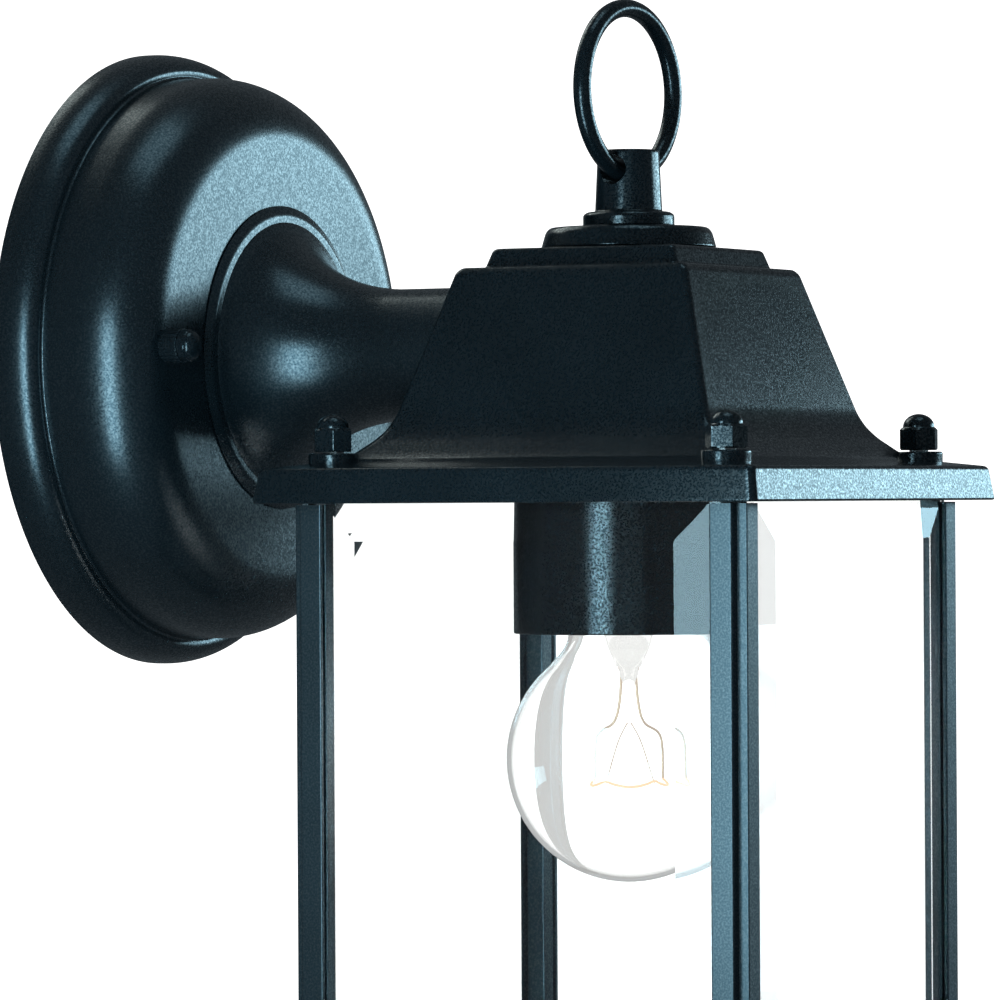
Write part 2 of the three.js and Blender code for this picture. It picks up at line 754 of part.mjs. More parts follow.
place(lantern, "socket_cup", socketCup(), blackSpun);
place(
  lantern,
  "lampholder_body",
  turned(
    [
      [screwShellOut + GAP, holderBottom],
      [HOLDER_R, holderBottom],
      [HOLDER_R, HOLDER_TOP - 1],
      [HOLDER_R - 1, HOLDER_TOP],
      [0, HOLDER_TOP],
      [0, contactZ + 1.4],
      [screwShellOut + GAP, contactZ + 1.4],
    ],
    24,
  ),
  porcelain,
);
place(
  lantern,
  "screw_shell",
  turned(
    [
      [screwShellIn, holderBottom + 0.4],
      [screwShellOut, holderBottom + 0.4],
      [screwShellOut, contactZ + 1],
      [8, contactZ + 1],
      [8, contactZ + 0.5],
      [screwShellIn, contactZ + 0.5],
    ],
    24,
  ),
  brass,
);
place(
  lantern,
  "centre_contact",
  turned(
    [
      [0, contactZ],
      [4, contactZ],
      [4.4, contactZ + 0.5],
      [4.4, contactZ + 1],
      [0, contactZ + 1],
    ],
    16,
  ),
  brass,
);
place(lantern, "centre_pipe", pipe(HOLDER_TOP + GAP, pipeTop), zinc);
place(lantern, "cup_nut", pipeNut(), zinc).position.z = CUP_TOP + GAP;
place(lantern, "roof_nut", pipeNut(), zinc).position.z = ceilingZ - GAP - PIPE_NUT_H;

// ---------------------------------------------------------------- lamp
function globe() {
  const neckR = CAP_R - CAP_WALL - GAP;
  const neckZ = CAP_BOTTOM - 0.4;
  const sphere = (radius) => arc(0, GLOBE_Z, radius, radius, -90, 52, 9);
  const outer = sphere(GLOBE_R);
  const inner = sphere(GLOBE_R - GLASS_WALL).reverse();
  return turned(
    [
      [0, GLOBE_Z - GLOBE_R],
      ...outer.slice(1),
      [neckR + 0.9, neckZ - 4],
      [neckR, neckZ],
      [neckR, CAP_TOP - 9],
      [neckR - GLASS_WALL, CAP_TOP - 9],
      [neckR - GLASS_WALL, neckZ],
      [neckR, neckZ - 4.6],
      ...inner.slice(0, -1),
      [0, GLOBE_Z - GLOBE_R + GLASS_WALL],
    ],
    24,
  );
}

const mountTop = CAP_TOP - 10;
const pressZ = -36;
const buttonZ = -45;

place(lantern, "bulb_glass", globe(), clearGlass);
place(
  lantern,
  "bulb_cap",
  turned(
    [
      [CAP_R - CAP_WALL, CAP_BOTTOM],
      [CAP_R, CAP_BOTTOM],
      [CAP_R, CAP_TOP],
      [CAP_R - 3, CAP_TOP + 0.6],
      [CAP_R - 4, CAP_TOP + 0.6],
      [CAP_R - 4, CAP_TOP],
      [CAP_R - CAP_WALL, CAP_TOP - 0.8],
    ],
    24,
  ),
  aluminium,
);
place(
  lantern,
  "bulb_insulator",
  turned(
    [
      [3.4, CAP_TOP + 0.9],
      [CAP_R - 3.6, CAP_TOP + 0.9],
      [CAP_R - 7.5, CAP_TOP + 3.2],
      [3.4, CAP_TOP + 3.2],
    ],
    24,
  ),
  darkGlass,
);
place(
  lantern,
  "bulb_tip",
  turned(
    [
      [0, CAP_TOP + 1],
      [3.1, CAP_TOP + 1],
      [3.1, CAP_TOP + 3.5],
      [4.6, CAP_TOP + 3.5],
      [4, CAP_TOP + 4.8],
      [2, CAP_TOP + 5.2],
      [0, CAP_TOP + 5.2],
    ],
    16,
  ),
  zinc,
);
place(
  lantern,
  "bulb_mount",
  turned(
    [
      [0, mountTop],
      [9, mountTop],
      [5.2, mountTop - 12],
      [3.6, pressZ + 4],
      [1.1, pressZ],
      [1, buttonZ + 1.5],
      [1.7, buttonZ],
      [0, buttonZ - 1],
    ],
    16,
  ),
  clearGlass,
);

// Lead wires and filament in one run: down one side, round the open loop and up the other side.
function filament() {
  const loop = Array.from({ length: 9 }, (_, i) => {
    const a = rad(205 + (i / 8) * 310);
    return v3(7.6 * Math.cos(a), 7.6 * Math.sin(a), -52.5 - 1.8 * Math.sin(a * 3));
  });
  const leadA = [v3(-4.6, -1, pressZ + 2), v3(-4.9, -1.5, buttonZ)];
  const leadB = [v3(4.9, -1.5, buttonZ), v3(4.6, -1, pressZ + 2)];
  return wireAlong([...leadA, ...loop, ...leadB], 0.35, 36, 5);
}

place(lantern, "bulb_filament", filament(), tungsten);

// ---------------------------------------------------------------- wiring, all inside the fitting
const CONNECTOR_X = 21;
const CONNECTOR_Y = -13;
const CONNECTOR_Z = 28.4;
const CONNECTOR_LENGTH = 17;
const boreStep = 1.45; // offset of a lead from the middle of the arm pipe
const armZ = 0;
const exitY = -(pipeFront + 3);

function supplyLead(side) {
  const x = side * boreStep;
  const z = armZ + 0.85;
  return wireAlong(
    [
      v3(side * CONNECTOR_X, CONNECTOR_Y, CONNECTOR_Z - CONNECTOR_LENGTH / 2 - 0.4),
      v3(side * 18, -14.5, 13),
      v3(side * 7, -17, 3),
      v3(x, -pipeBack + 4, z),
      v3(x, -pipeBack - 4, z),
      v3(x, -pipeBack - 30, z),
      v3(x, -pipeFront + 4, z),
      v3(side * 3, exitY, z - 1),
      v3(side * (LEAD_SPREAD - 1), exitY - 6, -7),
      v3(side * LEAD_SPREAD, -AXIS_OUT, -BRIM_DROP + CUP_TOP + 2.5),
      v3(side * LEAD_SPREAD, -AXIS_OUT, -BRIM_DROP + HOLDER_TOP + GAP + 0.1),
    ],
    WIRE_R,
    34,
  );
}

function groundLead() {
  const z = armZ - 1.7;
  return wireAlong(
    [
      v3(GROUND_X, -BAR_THICK - 4, -5.5),
      v3(13, -11, -9),
      v3(5, -16, -7),
      v3(0, -pipeBack + 4, z),
      v3(0, -pipeBack - 4, z),
      v3(0, -pipeBack - 30, z),
      v3(0, -pipeFront + 4, z),
      v3(0, exitY, z - 1),
      v3(-2, exitY + 1, z - 7),
    ],
    WIRE_R,
    28,
  );
}

function wireConnector() {
  return new THREE.CylinderGeometry(2.6, 4.7, CONNECTOR_LENGTH, 10).rotateX(Math.PI / 2);
}

place(lanternPart, "supply_wire_black", supplyLead(-1), blackWire);
place(lanternPart, "supply_wire_white", supplyLead(1), whiteWire);
place(lanternPart, "ground_wire", groundLead(), greenWire);
place(lanternPart, "wire_connector_left", wireConnector(), redCap)
  .position.set(-CONNECTOR_X, CONNECTOR_Y, CONNECTOR_Z);
place(lanternPart, "wire_connector_right", wireConnector(), redCap)
  .position.set(CONNECTOR_X, CONNECTOR_Y, CONNECTOR_Z);

export default lanternPart;
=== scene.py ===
# %% [markdown]
# # Outdoor wall lantern: looks
# The lantern's solids come from its CAD model, and this script dresses them. Each piece that shows is
# worked out again as a smooth surface in the same place, and gets a finish made of shader nodes. Hidden
# hardware keeps its CAD solid. Everything is in metres, +Z is up and the wall is the plane Y = 0.

import math

import bmesh
import bpy
import numpy as np
from mathutils import Matrix, Vector


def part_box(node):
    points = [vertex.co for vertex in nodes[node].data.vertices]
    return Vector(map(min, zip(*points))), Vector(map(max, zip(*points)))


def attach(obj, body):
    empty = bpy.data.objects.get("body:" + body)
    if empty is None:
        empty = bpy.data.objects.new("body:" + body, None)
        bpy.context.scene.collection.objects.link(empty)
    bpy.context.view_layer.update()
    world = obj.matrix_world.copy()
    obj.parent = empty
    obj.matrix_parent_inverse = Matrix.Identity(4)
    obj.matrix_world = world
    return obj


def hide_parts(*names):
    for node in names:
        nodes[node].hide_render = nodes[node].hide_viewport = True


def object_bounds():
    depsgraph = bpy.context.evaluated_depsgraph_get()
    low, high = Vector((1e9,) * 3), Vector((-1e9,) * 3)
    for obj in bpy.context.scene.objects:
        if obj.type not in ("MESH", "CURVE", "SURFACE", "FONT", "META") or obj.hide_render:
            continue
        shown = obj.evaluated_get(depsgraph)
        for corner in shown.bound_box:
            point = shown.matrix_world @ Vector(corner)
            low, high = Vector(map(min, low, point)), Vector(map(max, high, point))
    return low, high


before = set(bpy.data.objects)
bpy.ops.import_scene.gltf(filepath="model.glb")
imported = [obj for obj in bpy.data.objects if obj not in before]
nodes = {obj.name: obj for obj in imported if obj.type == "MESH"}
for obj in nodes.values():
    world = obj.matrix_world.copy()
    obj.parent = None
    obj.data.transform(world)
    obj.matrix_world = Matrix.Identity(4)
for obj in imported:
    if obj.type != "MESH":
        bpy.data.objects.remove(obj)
cad_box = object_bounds()

# %% [markdown]
# ## Where things are
# The lantern hangs on its own upright axis in front of the wall. The base of the brim is the height that
# every other height is counted from, as it was in the CAD, so both numbers are read from the solids.

# %% Axis and brim
MM = 0.001
AXIS = np.array([0.0, (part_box("roof")[0].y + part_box("roof")[1].y) / 2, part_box("roof")[0].z])
OUT = -AXIS[1] / MM
DROP = -AXIS[2] / MM
print("axis", round(OUT, 2), "mm off the wall, brim", round(DROP, 2), "mm below the canopy's middle")

# %% [markdown]
# ## Camera
# A long lens from the left, level with the lantern's upper panes, sees the canopy nearly edge on and the
# lantern across its corner. The camera is placed by its turn round the axis, its distance and a small
# sidestep.

# %% Camera
VIEW_TURN = math.radians(61.155)
VIEW_DISTANCE = 1.2399
VIEW_SIDESTEP = 0.0269
VIEW_HEIGHT = -0.03065
VIEW_ROLL = 0.00545
LENS = 216.2

look = Vector((math.sin(VIEW_TURN), math.cos(VIEW_TURN), 0))
side = Vector((look.y, -look.x, 0))
up = Vector((0, 0, 1))
camera_data = bpy.data.cameras.new("studio_camera")
camera_data.lens = LENS
camera_data.sensor_width = 36
camera_data.clip_end = 50
camera = bpy.data.objects.new("studio_camera", camera_data)
bpy.context.scene.collection.objects.link(camera)
right = side * math.cos(VIEW_ROLL) - up * math.sin(VIEW_ROLL)
top = side * math.sin(VIEW_ROLL) + up * math.cos(VIEW_ROLL)
turn = Matrix((right, top, -look)).transposed().to_4x4()
place = Vector((0, AXIS[1], VIEW_HEIGHT)) - look * VIEW_DISTANCE - side * VIEW_SIDESTEP
camera.matrix_world = Matrix.Translation(place) @ turn
bpy.context.scene.camera = camera
print("camera at", [round(c, 3) for c in place])

# %% [markdown]
# ## Surfaces
# Nearly every piece of a lantern is turned, cast square or drawn. Each of those is a grid of points: one
# direction runs round the piece and the other runs along its outline. A helper turns such a grid into a
# mesh, joins the points that meet at a pole, and makes the faces point outwards.


# %% Grid to mesh
def grid_faces(around, along, close_around, close_along, start=0):
    """Quads of a grid: point (i, j) joins (i + 1, j), (i + 1, j + 1) and (i, j + 1), and wraps where the
    grid closes."""
    i = np.arange(around if close_around else around - 1)
    j = np.arange(along if close_along else along - 1)
    i, j = np.meshgrid(i, j, indexing="ij")
    ni, nj = (i + 1) % around, (j + 1) % along
    quads = np.stack([i * along + j, ni * along + j, ni * along + nj, i * along + nj], -1)
    return quads.reshape(-1, 4) + start


def piece(name, grids, body, finish, sharp=40, ride=True):
    """One object from (points, close_around, close_along) grids. Points are in metres and shaped
    (around, along, 3)."""
    vertices, faces, start = [], [], 0
    for points, close_around, close_along in grids:
        around, along = points.shape[:2]
        faces += grid_faces(around, along, close_around, close_along, start).tolist()
        vertices.append(points.reshape(-1, 3))
        start += around * along
    mesh = bpy.data.meshes.new(name)
    mesh.from_pydata(np.concatenate(vertices).tolist(), [], faces)
    work = bmesh.new()
    work.from_mesh(mesh)
    bmesh.ops.remove_doubles(work, verts=work.verts, dist=2e-6)
    bmesh.ops.dissolve_degenerate(work, edges=work.edges, dist=1e-7)
    bmesh.ops.recalc_face_normals(work, faces=work.faces)
    work.to_mesh(mesh)
    work.free()
    mesh.shade_smooth()
    mesh.set_sharp_from_angle(angle=math.radians(sharp))
    made = bpy.data.objects.new(name, mesh)
    bpy.context.scene.collection.objects.link(made)
    mesh.materials.append(finish)
    if ride:
        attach(made, body)
    print(name, len(mesh.polygons), "faces")
    return made


# %% [markdown]
# A real edge is never sharp: paint and polish round it, and the round is what catches the light. The
# outline of each piece is therefore written with plain corners, and a helper rounds every corner by its
# own distance. It also adds a guard point on each side of the round, so that smooth shading keeps the
# flats flat.


# %% Rounded outlines
def rounded(corners, radius, closed=False, steps=5, guard=0.25):
    """Outline with each corner replaced by a curve: the point one radius before it, the corner and the point
    one radius after it, weighted (1 - t)^2, 2t(1 - t) and t^2. A corner may carry its own radius as a third
    number, and 0 keeps it sharp."""
    count = len(corners)
    out = []
    for k, corner in enumerate(corners):
        here = np.array(corner[:2], float)
        own = corner[2] if len(corner) > 2 else radius
        ends = not closed and k in (0, count - 1)
        if ends or own <= 0:
            out.append(here[None])
            continue
        before = np.array(corners[k - 1][:2], float) - here
        after = np.array(corners[(k + 1) % count][:2], float) - here
        length_before, length_after = np.linalg.norm(before), np.linalg.norm(after)
        reach = min(own, 0.45 * length_before, 0.45 * length_after)
        first = here + before / length_before * reach
        last = here + after / length_after * reach
        t = np.linspace(0, 1, steps + 1)[:, None]
        curve = (1 - t) ** 2 * first + 2 * t * (1 - t) * here + t**2 * last
        spare = min(guard, 0.04 * length_before)
        spare_after = min(guard, 0.04 * length_after)
        out.append((first + before / length_before * spare)[None])
        out.append(curve)
        out.append((last + after / length_after * spare_after)[None])
    return np.concatenate(out)


def ellipse_arc(cx, cy, a, b, start, end, count):
    """Corners with no extra rounding along an ellipse about (cx, cy)."""
    t = np.radians(np.linspace(start, end, count + 1))
    return [(x, y, 0) for x, y in zip((cx + a * np.cos(t)).tolist(), (cy + b * np.sin(t)).tolist())]


# %% [markdown]
# Turned pieces come off a lathe or a spinning chuck. The same outline serves both directions in this
# lantern: about the upright axis for the lantern's own pieces, and about the canopy's axis for what
# stands off the wall.


# %% Turned about an axis
def turned(outline, around=128, centre=(0, 0)):
    """Outline of (radius, height) mm round the upright axis: x = r cos a, y = r sin a, z = height."""
    angle = np.linspace(0, 2 * np.pi, around, endpoint=False)[:, None]
    radius, height = outline[None, :, 0], outline[None, :, 1]
    x = radius * np.cos(angle) + centre[0]
    y = radius * np.sin(angle) + centre[1]
    return np.stack([x, y, np.broadcast_to(height, x.shape)], -1) * MM + AXIS


def turned_out(outline, around=160, centre=(0, 0)):
    """Outline of (radius, distance off the wall) mm round an axis square to the wall: y = -distance."""
    angle = np.linspace(0, 2 * np.pi, around, endpoint=False)[:, None]
    radius, out = outline[None, :, 0], outline[None, :, 1]
    x = radius * np.cos(angle) + centre[0]
    z = radius * np.sin(angle) + centre[1]
    return np.stack([x, np.broadcast_to(-out, x.shape), z], -1) * MM


# %% [markdown]
# The roof and the base are square castings. Their section at each height is a square with rounded
# corners, so they are turned pieces whose circle has been traded for that square.


# %% Square about the axis
def square_turned(outline, corner, steps=6, guard=0.5):
    """Outline of (half side, height) mm round the axis. At each height the section is four quarter circles of
    radius corner, whose centres stand that far inside the sides, and a guard point past each quarter's ends."""
    half, height = outline[:, 0], outline[:, 1]
    corner = np.minimum(np.broadcast_to(np.asarray(corner, float), half.shape), 0.9 * np.maximum(half, 0))
    t = np.linspace(0, np.pi / 2, steps + 1)
    arc_x = np.concatenate([[1.0], np.cos(t), [0.0]])
    arc_y = np.concatenate([[0.0], np.sin(t), [1.0]])
    slip = np.minimum(guard, 0.3 * (half - corner))
    x = (half - corner)[None] + corner[None] * arc_x[:, None]
    y = (half - corner)[None] + corner[None] * arc_y[:, None]
    y[0] -= slip
    x[-1] -= slip
    quarter = np.stack([x, y], -1)
    turns = [quarter]
    for _ in range(3):
        last = turns[-1]
        turns.append(np.stack([-last[..., 1], last[..., 0]], -1))
    flat = np.concatenate(turns)
    z = np.broadcast_to(height, flat.shape[:2])
    return np.concatenate([flat, z[..., None]], -1) * MM + AXIS


# %% [markdown]
# ## Shader arithmetic
# A finish is easier to read as a formula than as a web of nodes. This class holds one output of a node
# tree. Adding, multiplying or comparing it adds the Math node, and mix and node add the other kinds.


# %% One value in a finish
class Value:
    """An output socket. Operators add Math nodes, with numbers or other values on either side."""

    def __init__(self, tree, socket):
        self.tree = tree
        self.socket = socket

    def math(self, operation, *others):
        """A Math node of that operation, fed with the others in order."""
        step = self.tree.nodes.new("ShaderNodeMath")
        step.operation = operation
        for slot, value in zip(step.inputs, others):
            plug(self.tree, value, slot)
        return Value(self.tree, step.outputs[0])

    def __add__(self, other):
        return self.math("ADD", self, other)

    __radd__ = __add__

    def __sub__(self, other):
        return self.math("SUBTRACT", self, other)

    def __rsub__(self, other):
        return self.math("SUBTRACT", other, self)

    def __mul__(self, other):
        return self.math("MULTIPLY", self, other)

    __rmul__ = __mul__

    def __gt__(self, other):
        return self.math("GREATER_THAN", self, other)


def plug(tree, value, slot):
    """Links a Value to a socket, or sets a plain number or colour on it."""
    if isinstance(value, Value):
        tree.links.new(value.socket, slot)
    else:
        slot.default_value = value


class Finish:
    """A material with one Principled shader, and the nodes that feed it."""

    def __init__(self, name):
        self.material = bpy.data.materials.new(name)
        self.material.use_nodes = True
        self.tree = self.material.node_tree
        self.tree.nodes.clear()
        self.output = self.tree.nodes.new("ShaderNodeOutputMaterial")
        self.shader = self.tree.nodes.new("ShaderNodeBsdfPrincipled")
        self.tree.links.new(self.shader.outputs[0], self.output.inputs["Surface"])

    def node(self, kind, inputs=None, settings=None, out=0):
        """Adds a node of that kind, sets it up first, then feeds its inputs."""
        made = self.tree.nodes.new(kind)
        for key, value in (settings or {}).items():
            setattr(made, key, value)
        for key, value in (inputs or {}).items():
            plug(self.tree, value, made.inputs[key])
        return Value(self.tree, made.outputs[out])

    def place(self):
        return self.node("ShaderNodeTexCoord", out="Object")

    def noise(self, scale, detail=2, roughness=0.5, at=None):
        """Cloudy values about 0.5, scale of them to a metre."""
        return self.node(
            "ShaderNodeTexNoise",
            {"Vector": at or self.place(), "Scale": scale, "Detail": detail, "Roughness": roughness},
        )

    def mix(self, share, first, second):
        """A colour that goes from first to second as share goes from 0 to 1."""
        return self.node(
            "ShaderNodeMix",
            {"Factor": share, 6: first, 7: second},
            {"data_type": "RGBA"},
            out=2,
        )

    def bump(self, height, distance, strength=1.0):
        return self.node("ShaderNodeBump", {"Height": height, "Distance": distance, "Strength": strength})

    def wear(self, **sockets):
        """Sets the shader's sockets: underscores in a name stand for spaces."""
        for key, value in sockets.items():
            plug(self.tree, value, self.shader.inputs[key.replace("_", " ")])
        return self.material


print("shader helpers ready")

# %% [markdown]
# ## Black powder coat
# Powder coat is a thick baked paint. On the spun canopy and the drawn arm it flows out smooth with a faint
# orange peel, and on the castings it follows the grain of the sand mould. Its gloss is bluish. The colour
# hardly varies, so the life of it is in the roughness, the bump and the sparkle of its top layer. All three
# come from noise in the object's own space.


# %% Powder coats
COAT_DARK = (0.0045, 0.0075, 0.0095, 1)
COAT_LIGHT = (0.009, 0.0145, 0.0185, 1)
COAT_SHEEN = (0.66, 0.88, 1.0, 1)


def powder_coat(name, base_roughness, peel_scale, peel_height, grain_scale, grain_height, ior=1.55):
    """Roughness = base times (0.75 + 0.3 cloud + 0.2 dust). Height = peel noise and grain noise, each with its
    own depth. The dust also thins and thickens a clear top layer, so that the coat sparkles under a light."""
    coat = Finish(name)
    cloud = coat.noise(55, 3)
    peel = coat.noise(peel_scale, 1)
    grain = coat.noise(grain_scale, 3, 0.65)
    dust = coat.noise(2300, 1)
    height = peel * peel_height + grain * grain_height
    return coat.wear(
        Base_Color=coat.mix(cloud, COAT_DARK, COAT_LIGHT),
        Roughness=base_roughness * (0.75 + cloud * 0.3 + dust * 0.2),
        Specular_Tint=COAT_SHEEN,
        IOR=ior,
        Normal=coat.bump(height, 1.0),
        Coat_Weight=(dust - 0.4) * 5,
        Coat_Roughness=base_roughness,
    )


spun_black = powder_coat("spun_black_coat", 0.28, 420, 0.000006, 2600, 0.000006)
cast_black = powder_coat("cast_black_coat", 0.21, 700, 0.000012, 2200, 0.000007, 1.34)
drawn_black = powder_coat("drawn_black_coat", 0.4, 500, 0.000008, 2200, 0.000006, 1.9)
print("coats", spun_black.name, cast_black.name)

# %% [markdown]
# ## Glass
# The panes are float glass with a ground and polished bevel. Clear glass needs almost no colour: the bevel
# shows because it bends light. The lamp's envelope is thinner and has no tint at all.


# %% Clear glass
def clear_glass(name, colour, smear, painted_glow=0.0):
    """Fully transmitting, with a roughness that rises a little where the glass was wiped. The lamp's glass also
    gets a painted glow: an emission that stands in for light, since clear glass does not shine itself."""
    glass = Finish(name)
    wiped = glass.noise(18, 2)
    return glass.wear(
        Base_Color=colour,
        Roughness=(wiped > 0.62) * smear,
        IOR=1.5,
        Transmission_Weight=1.0,
        Emission_Color=(1.0, 0.99, 0.97, 1),
        Emission_Strength=painted_glow,
    )


pane_glass = clear_glass("bevelled_pane_glass", (0.985, 0.996, 0.993, 1), 0.006)
# The lamp's glass gets a painted glow of 0.16, an emission that stands in for the light seen in the globe.
lamp_glass = clear_glass("lamp_envelope_glass", (0.99, 0.995, 0.995, 1), 0.0, 0.16)
print("glass", pane_glass.name, lamp_glass.name)

# %% [markdown]
# ## Bare metals, porcelain and plastics
# What hides inside is ordinary hardware: zinc plate with a faint crystal cloud, spun brass, rolled
# aluminium, glazed porcelain and extruded insulation. One helper makes the metals and one makes the rest.


# %% Hardware finishes
def plain_metal(name, dark, light, roughness, brush):
    """Metal whose tint and roughness drift with a cloud, and whose surface has fine brushed noise."""
    metal = Finish(name)
    cloud = metal.noise(120, 3)
    fine = metal.noise(brush, 2)
    return metal.wear(
        Base_Color=metal.mix(cloud, dark, light),
        Metallic=1.0,
        Roughness=roughness + (cloud - 0.5) * 0.15,
        Normal=metal.bump(fine, 0.00001),
    )


def plain_body(name, dark, light, roughness, grain, height):
    """Paint, glaze, foam or plastic: a clouded colour with a grain of that many bumps to a metre."""
    stuff = Finish(name)
    cloud = stuff.noise(160, 3)
    fine = stuff.noise(grain, 2)
    return stuff.wear(
        Base_Color=stuff.mix(cloud, dark, light),
        Roughness=roughness + (cloud - 0.5) * 0.12,
        Normal=stuff.bump(fine, height),
    )


zinc = plain_metal("zinc_plate", (0.42, 0.43, 0.45, 1), (0.66, 0.66, 0.64, 1), 0.34, 3000)
brass = plain_metal("spun_brass", (0.52, 0.36, 0.13, 1), (0.78, 0.58, 0.26, 1), 0.3, 2500)
aluminium = plain_metal("rolled_aluminium", (0.62, 0.63, 0.64, 1), (0.8, 0.8, 0.8, 1), 0.28, 3500)
solder = plain_metal("solder_tin", (0.4, 0.4, 0.38, 1), (0.62, 0.62, 0.6, 1), 0.4, 1800)
porcelain = plain_body("glazed_porcelain", (0.62, 0.59, 0.52, 1), (0.78, 0.75, 0.69, 1), 0.2, 500, 0.00001)
vitrite = plain_body(
    "black_lamp_glass", (0.008, 0.007, 0.007, 1), (0.02, 0.018, 0.017, 1), 0.15, 900, 0.00001
)
green_zinc = plain_body("green_dyed_zinc", (0.01, 0.14, 0.03, 1), (0.03, 0.26, 0.07, 1), 0.35, 900, 0.00001)
foam = plain_body("closed_cell_foam", (0.012, 0.012, 0.013, 1), (0.03, 0.03, 0.032, 1), 0.9, 1800, 0.0002)
wire_black = plain_body(
    "black_insulation", (0.008, 0.008, 0.008, 1), (0.016, 0.016, 0.016, 1), 0.45, 900, 0.00002
)
wire_white = plain_body("white_insulation", (0.6, 0.59, 0.55, 1), (0.74, 0.73, 0.69, 1), 0.45, 900, 0.00002)
wire_green = plain_body("green_insulation", (0.01, 0.13, 0.03, 1), (0.03, 0.22, 0.06, 1), 0.45, 900, 0.00002)
red_nylon = plain_body(
    "red_connector_nylon", (0.28, 0.015, 0.012, 1), (0.42, 0.03, 0.02, 1), 0.5, 1200, 0.00003
)
print("hardware finishes ready")

# %% [markdown]
# ## Canopy
# The canopy is one disc of steel spun over a former: a rolled bead at the wall, a short drum, a wide
# shoulder and a flat face. One closed outline holds its outside and its inside, so the shell has its real
# wall.

# %% Canopy
RIM_R, DRUM_R, FACE_R = 65.5, 60.0, 46.0
CANOPY_DEPTH = -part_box("backplate")[0].y / MM
WALL = 1.4
RIM_DEPTH, SHOULDER = 8.9, 15.6
PIPE_BORE = 5.15

shoulder_out = CANOPY_DEPTH - SHOULDER
canopy_outline = rounded(
    [
        (RIM_R - WALL, 0.0, 0),
        (RIM_R, 0.0, 0.3),
        *ellipse_arc(DRUM_R + 1.1, RIM_DEPTH * 0.2, RIM_R - DRUM_R - 1.1, RIM_DEPTH * 0.8, 0, 84, 14),
        (DRUM_R + 0.5, RIM_DEPTH - 0.25, 0.2),
        (DRUM_R + 0.12, RIM_DEPTH + 0.15, 0.3),
        *ellipse_arc(FACE_R, shoulder_out, DRUM_R - FACE_R, SHOULDER, 4, 90, 22),
        (FACE_R - 1.5, CANOPY_DEPTH, 0),
        (PIPE_BORE, CANOPY_DEPTH, 0),
        (PIPE_BORE, CANOPY_DEPTH - WALL, 0),
        (FACE_R - 1.5, CANOPY_DEPTH - WALL, 0),
        *ellipse_arc(FACE_R, shoulder_out, DRUM_R - FACE_R - WALL, SHOULDER - WALL, 90, 4, 14),
        (DRUM_R - WALL, RIM_DEPTH, 1.0),
        (RIM_R - 3.3 - WALL / 2, RIM_DEPTH * 0.94 - WALL, 1.0),
        (RIM_R - WALL, RIM_DEPTH * 0.4, 1.0),
        (RIM_R - WALL, 0.3, 0),
    ],
    0,
)
canopy = piece(
    "spun_canopy",
    [(turned_out(canopy_outline, 200), True, True)],
    "fitting",
    spun_black,
    sharp=32,
)
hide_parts("backplate")

# %% [markdown]
# ## Arm
# The arm is a drawn tube that flares like a trumpet onto a thin ring on the canopy's face. Its far end is
# cut to lie against the roof's slope. The flare is a cubic curve with four control points, and the last
# point of each line along the tube is pushed out to where the slope is at that height.

# %% Arm
FOOT_R, FOOT_TOP_R, TRUMPET_R, TUBE_R = 32.3, 30.3, 28.6, 13.9
FLARE_LENGTH = 28.0
ARM_WALL = 2.2
EAVE_HALF, EAVE_Z = 35.6, 18.0
TOP_HALF, TOP_Z = 26.6, 48.1
EAVE_DROP, EAVE_OUT, TOP_ROUND = 2.6, 1.3, 1.0
SLOPE_GAP = 0.36
arm_back = CANOPY_DEPTH + 0.3
arm_face = arm_back + 1.0

t = np.linspace(0, 1, 30)[:, None]
control = np.array(
    [
        [TRUMPET_R, arm_face + 0.2],
        [TUBE_R + 9.1, arm_face + 1.7],
        [TUBE_R + 0.6, arm_face + 12.2],
        [TUBE_R, arm_face + FLARE_LENGTH],
    ]
)
flare = (1 - t) ** 3 * control[0] + 3 * t * (1 - t) ** 2 * control[1]
flare = flare + 3 * t**2 * (1 - t) * control[2] + t**3 * control[3]
foot = rounded(
    [
        (FOOT_R - 4, arm_back, 0),
        (FOOT_R, arm_back, 0.15),
        (FOOT_TOP_R, arm_face, 0.5),
        (TRUMPET_R + 0.05, arm_face + 0.02, 0.2),
        (TRUMPET_R - 0.2, arm_face + 0.22, 0),
    ],
    0,
)
arm_end = OUT - 34
inner = flare[::-3] * 1.0
inner[:, 0] = np.maximum(inner[:, 0] - ARM_WALL, TUBE_R - ARM_WALL)
arm_outline = np.concatenate(
    [foot, flare[2:], [[TUBE_R, arm_end], [TUBE_R - ARM_WALL, arm_end]], inner[:-2]],
)
tube_rows = np.flatnonzero(arm_outline[:, 1] == arm_end)
arm_grid = turned_out(arm_outline, 128)
slope_z = arm_grid[:, tube_rows, 2] / MM + DROP
slope_heights = [EAVE_Z - EAVE_DROP, EAVE_Z, TOP_Z - TOP_ROUND]
slope_half = np.interp(slope_z, slope_heights, [EAVE_HALF + EAVE_OUT, EAVE_HALF, TOP_HALF]) + SLOPE_GAP
arm_grid[:, tube_rows, 1] = -(OUT - slope_half) * MM
arm = piece("trumpet_arm", [(arm_grid, True, True)], "fitting", spun_black, sharp=32)
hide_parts("arm")

# %% [markdown]
# ## Roof
# The roof is one sand casting: a square brim, a hollow curve up to a small eave, a pyramid and a square
# block. Its outline runs up the outside and back down the inside, and the corners get sharper towards the
# top.

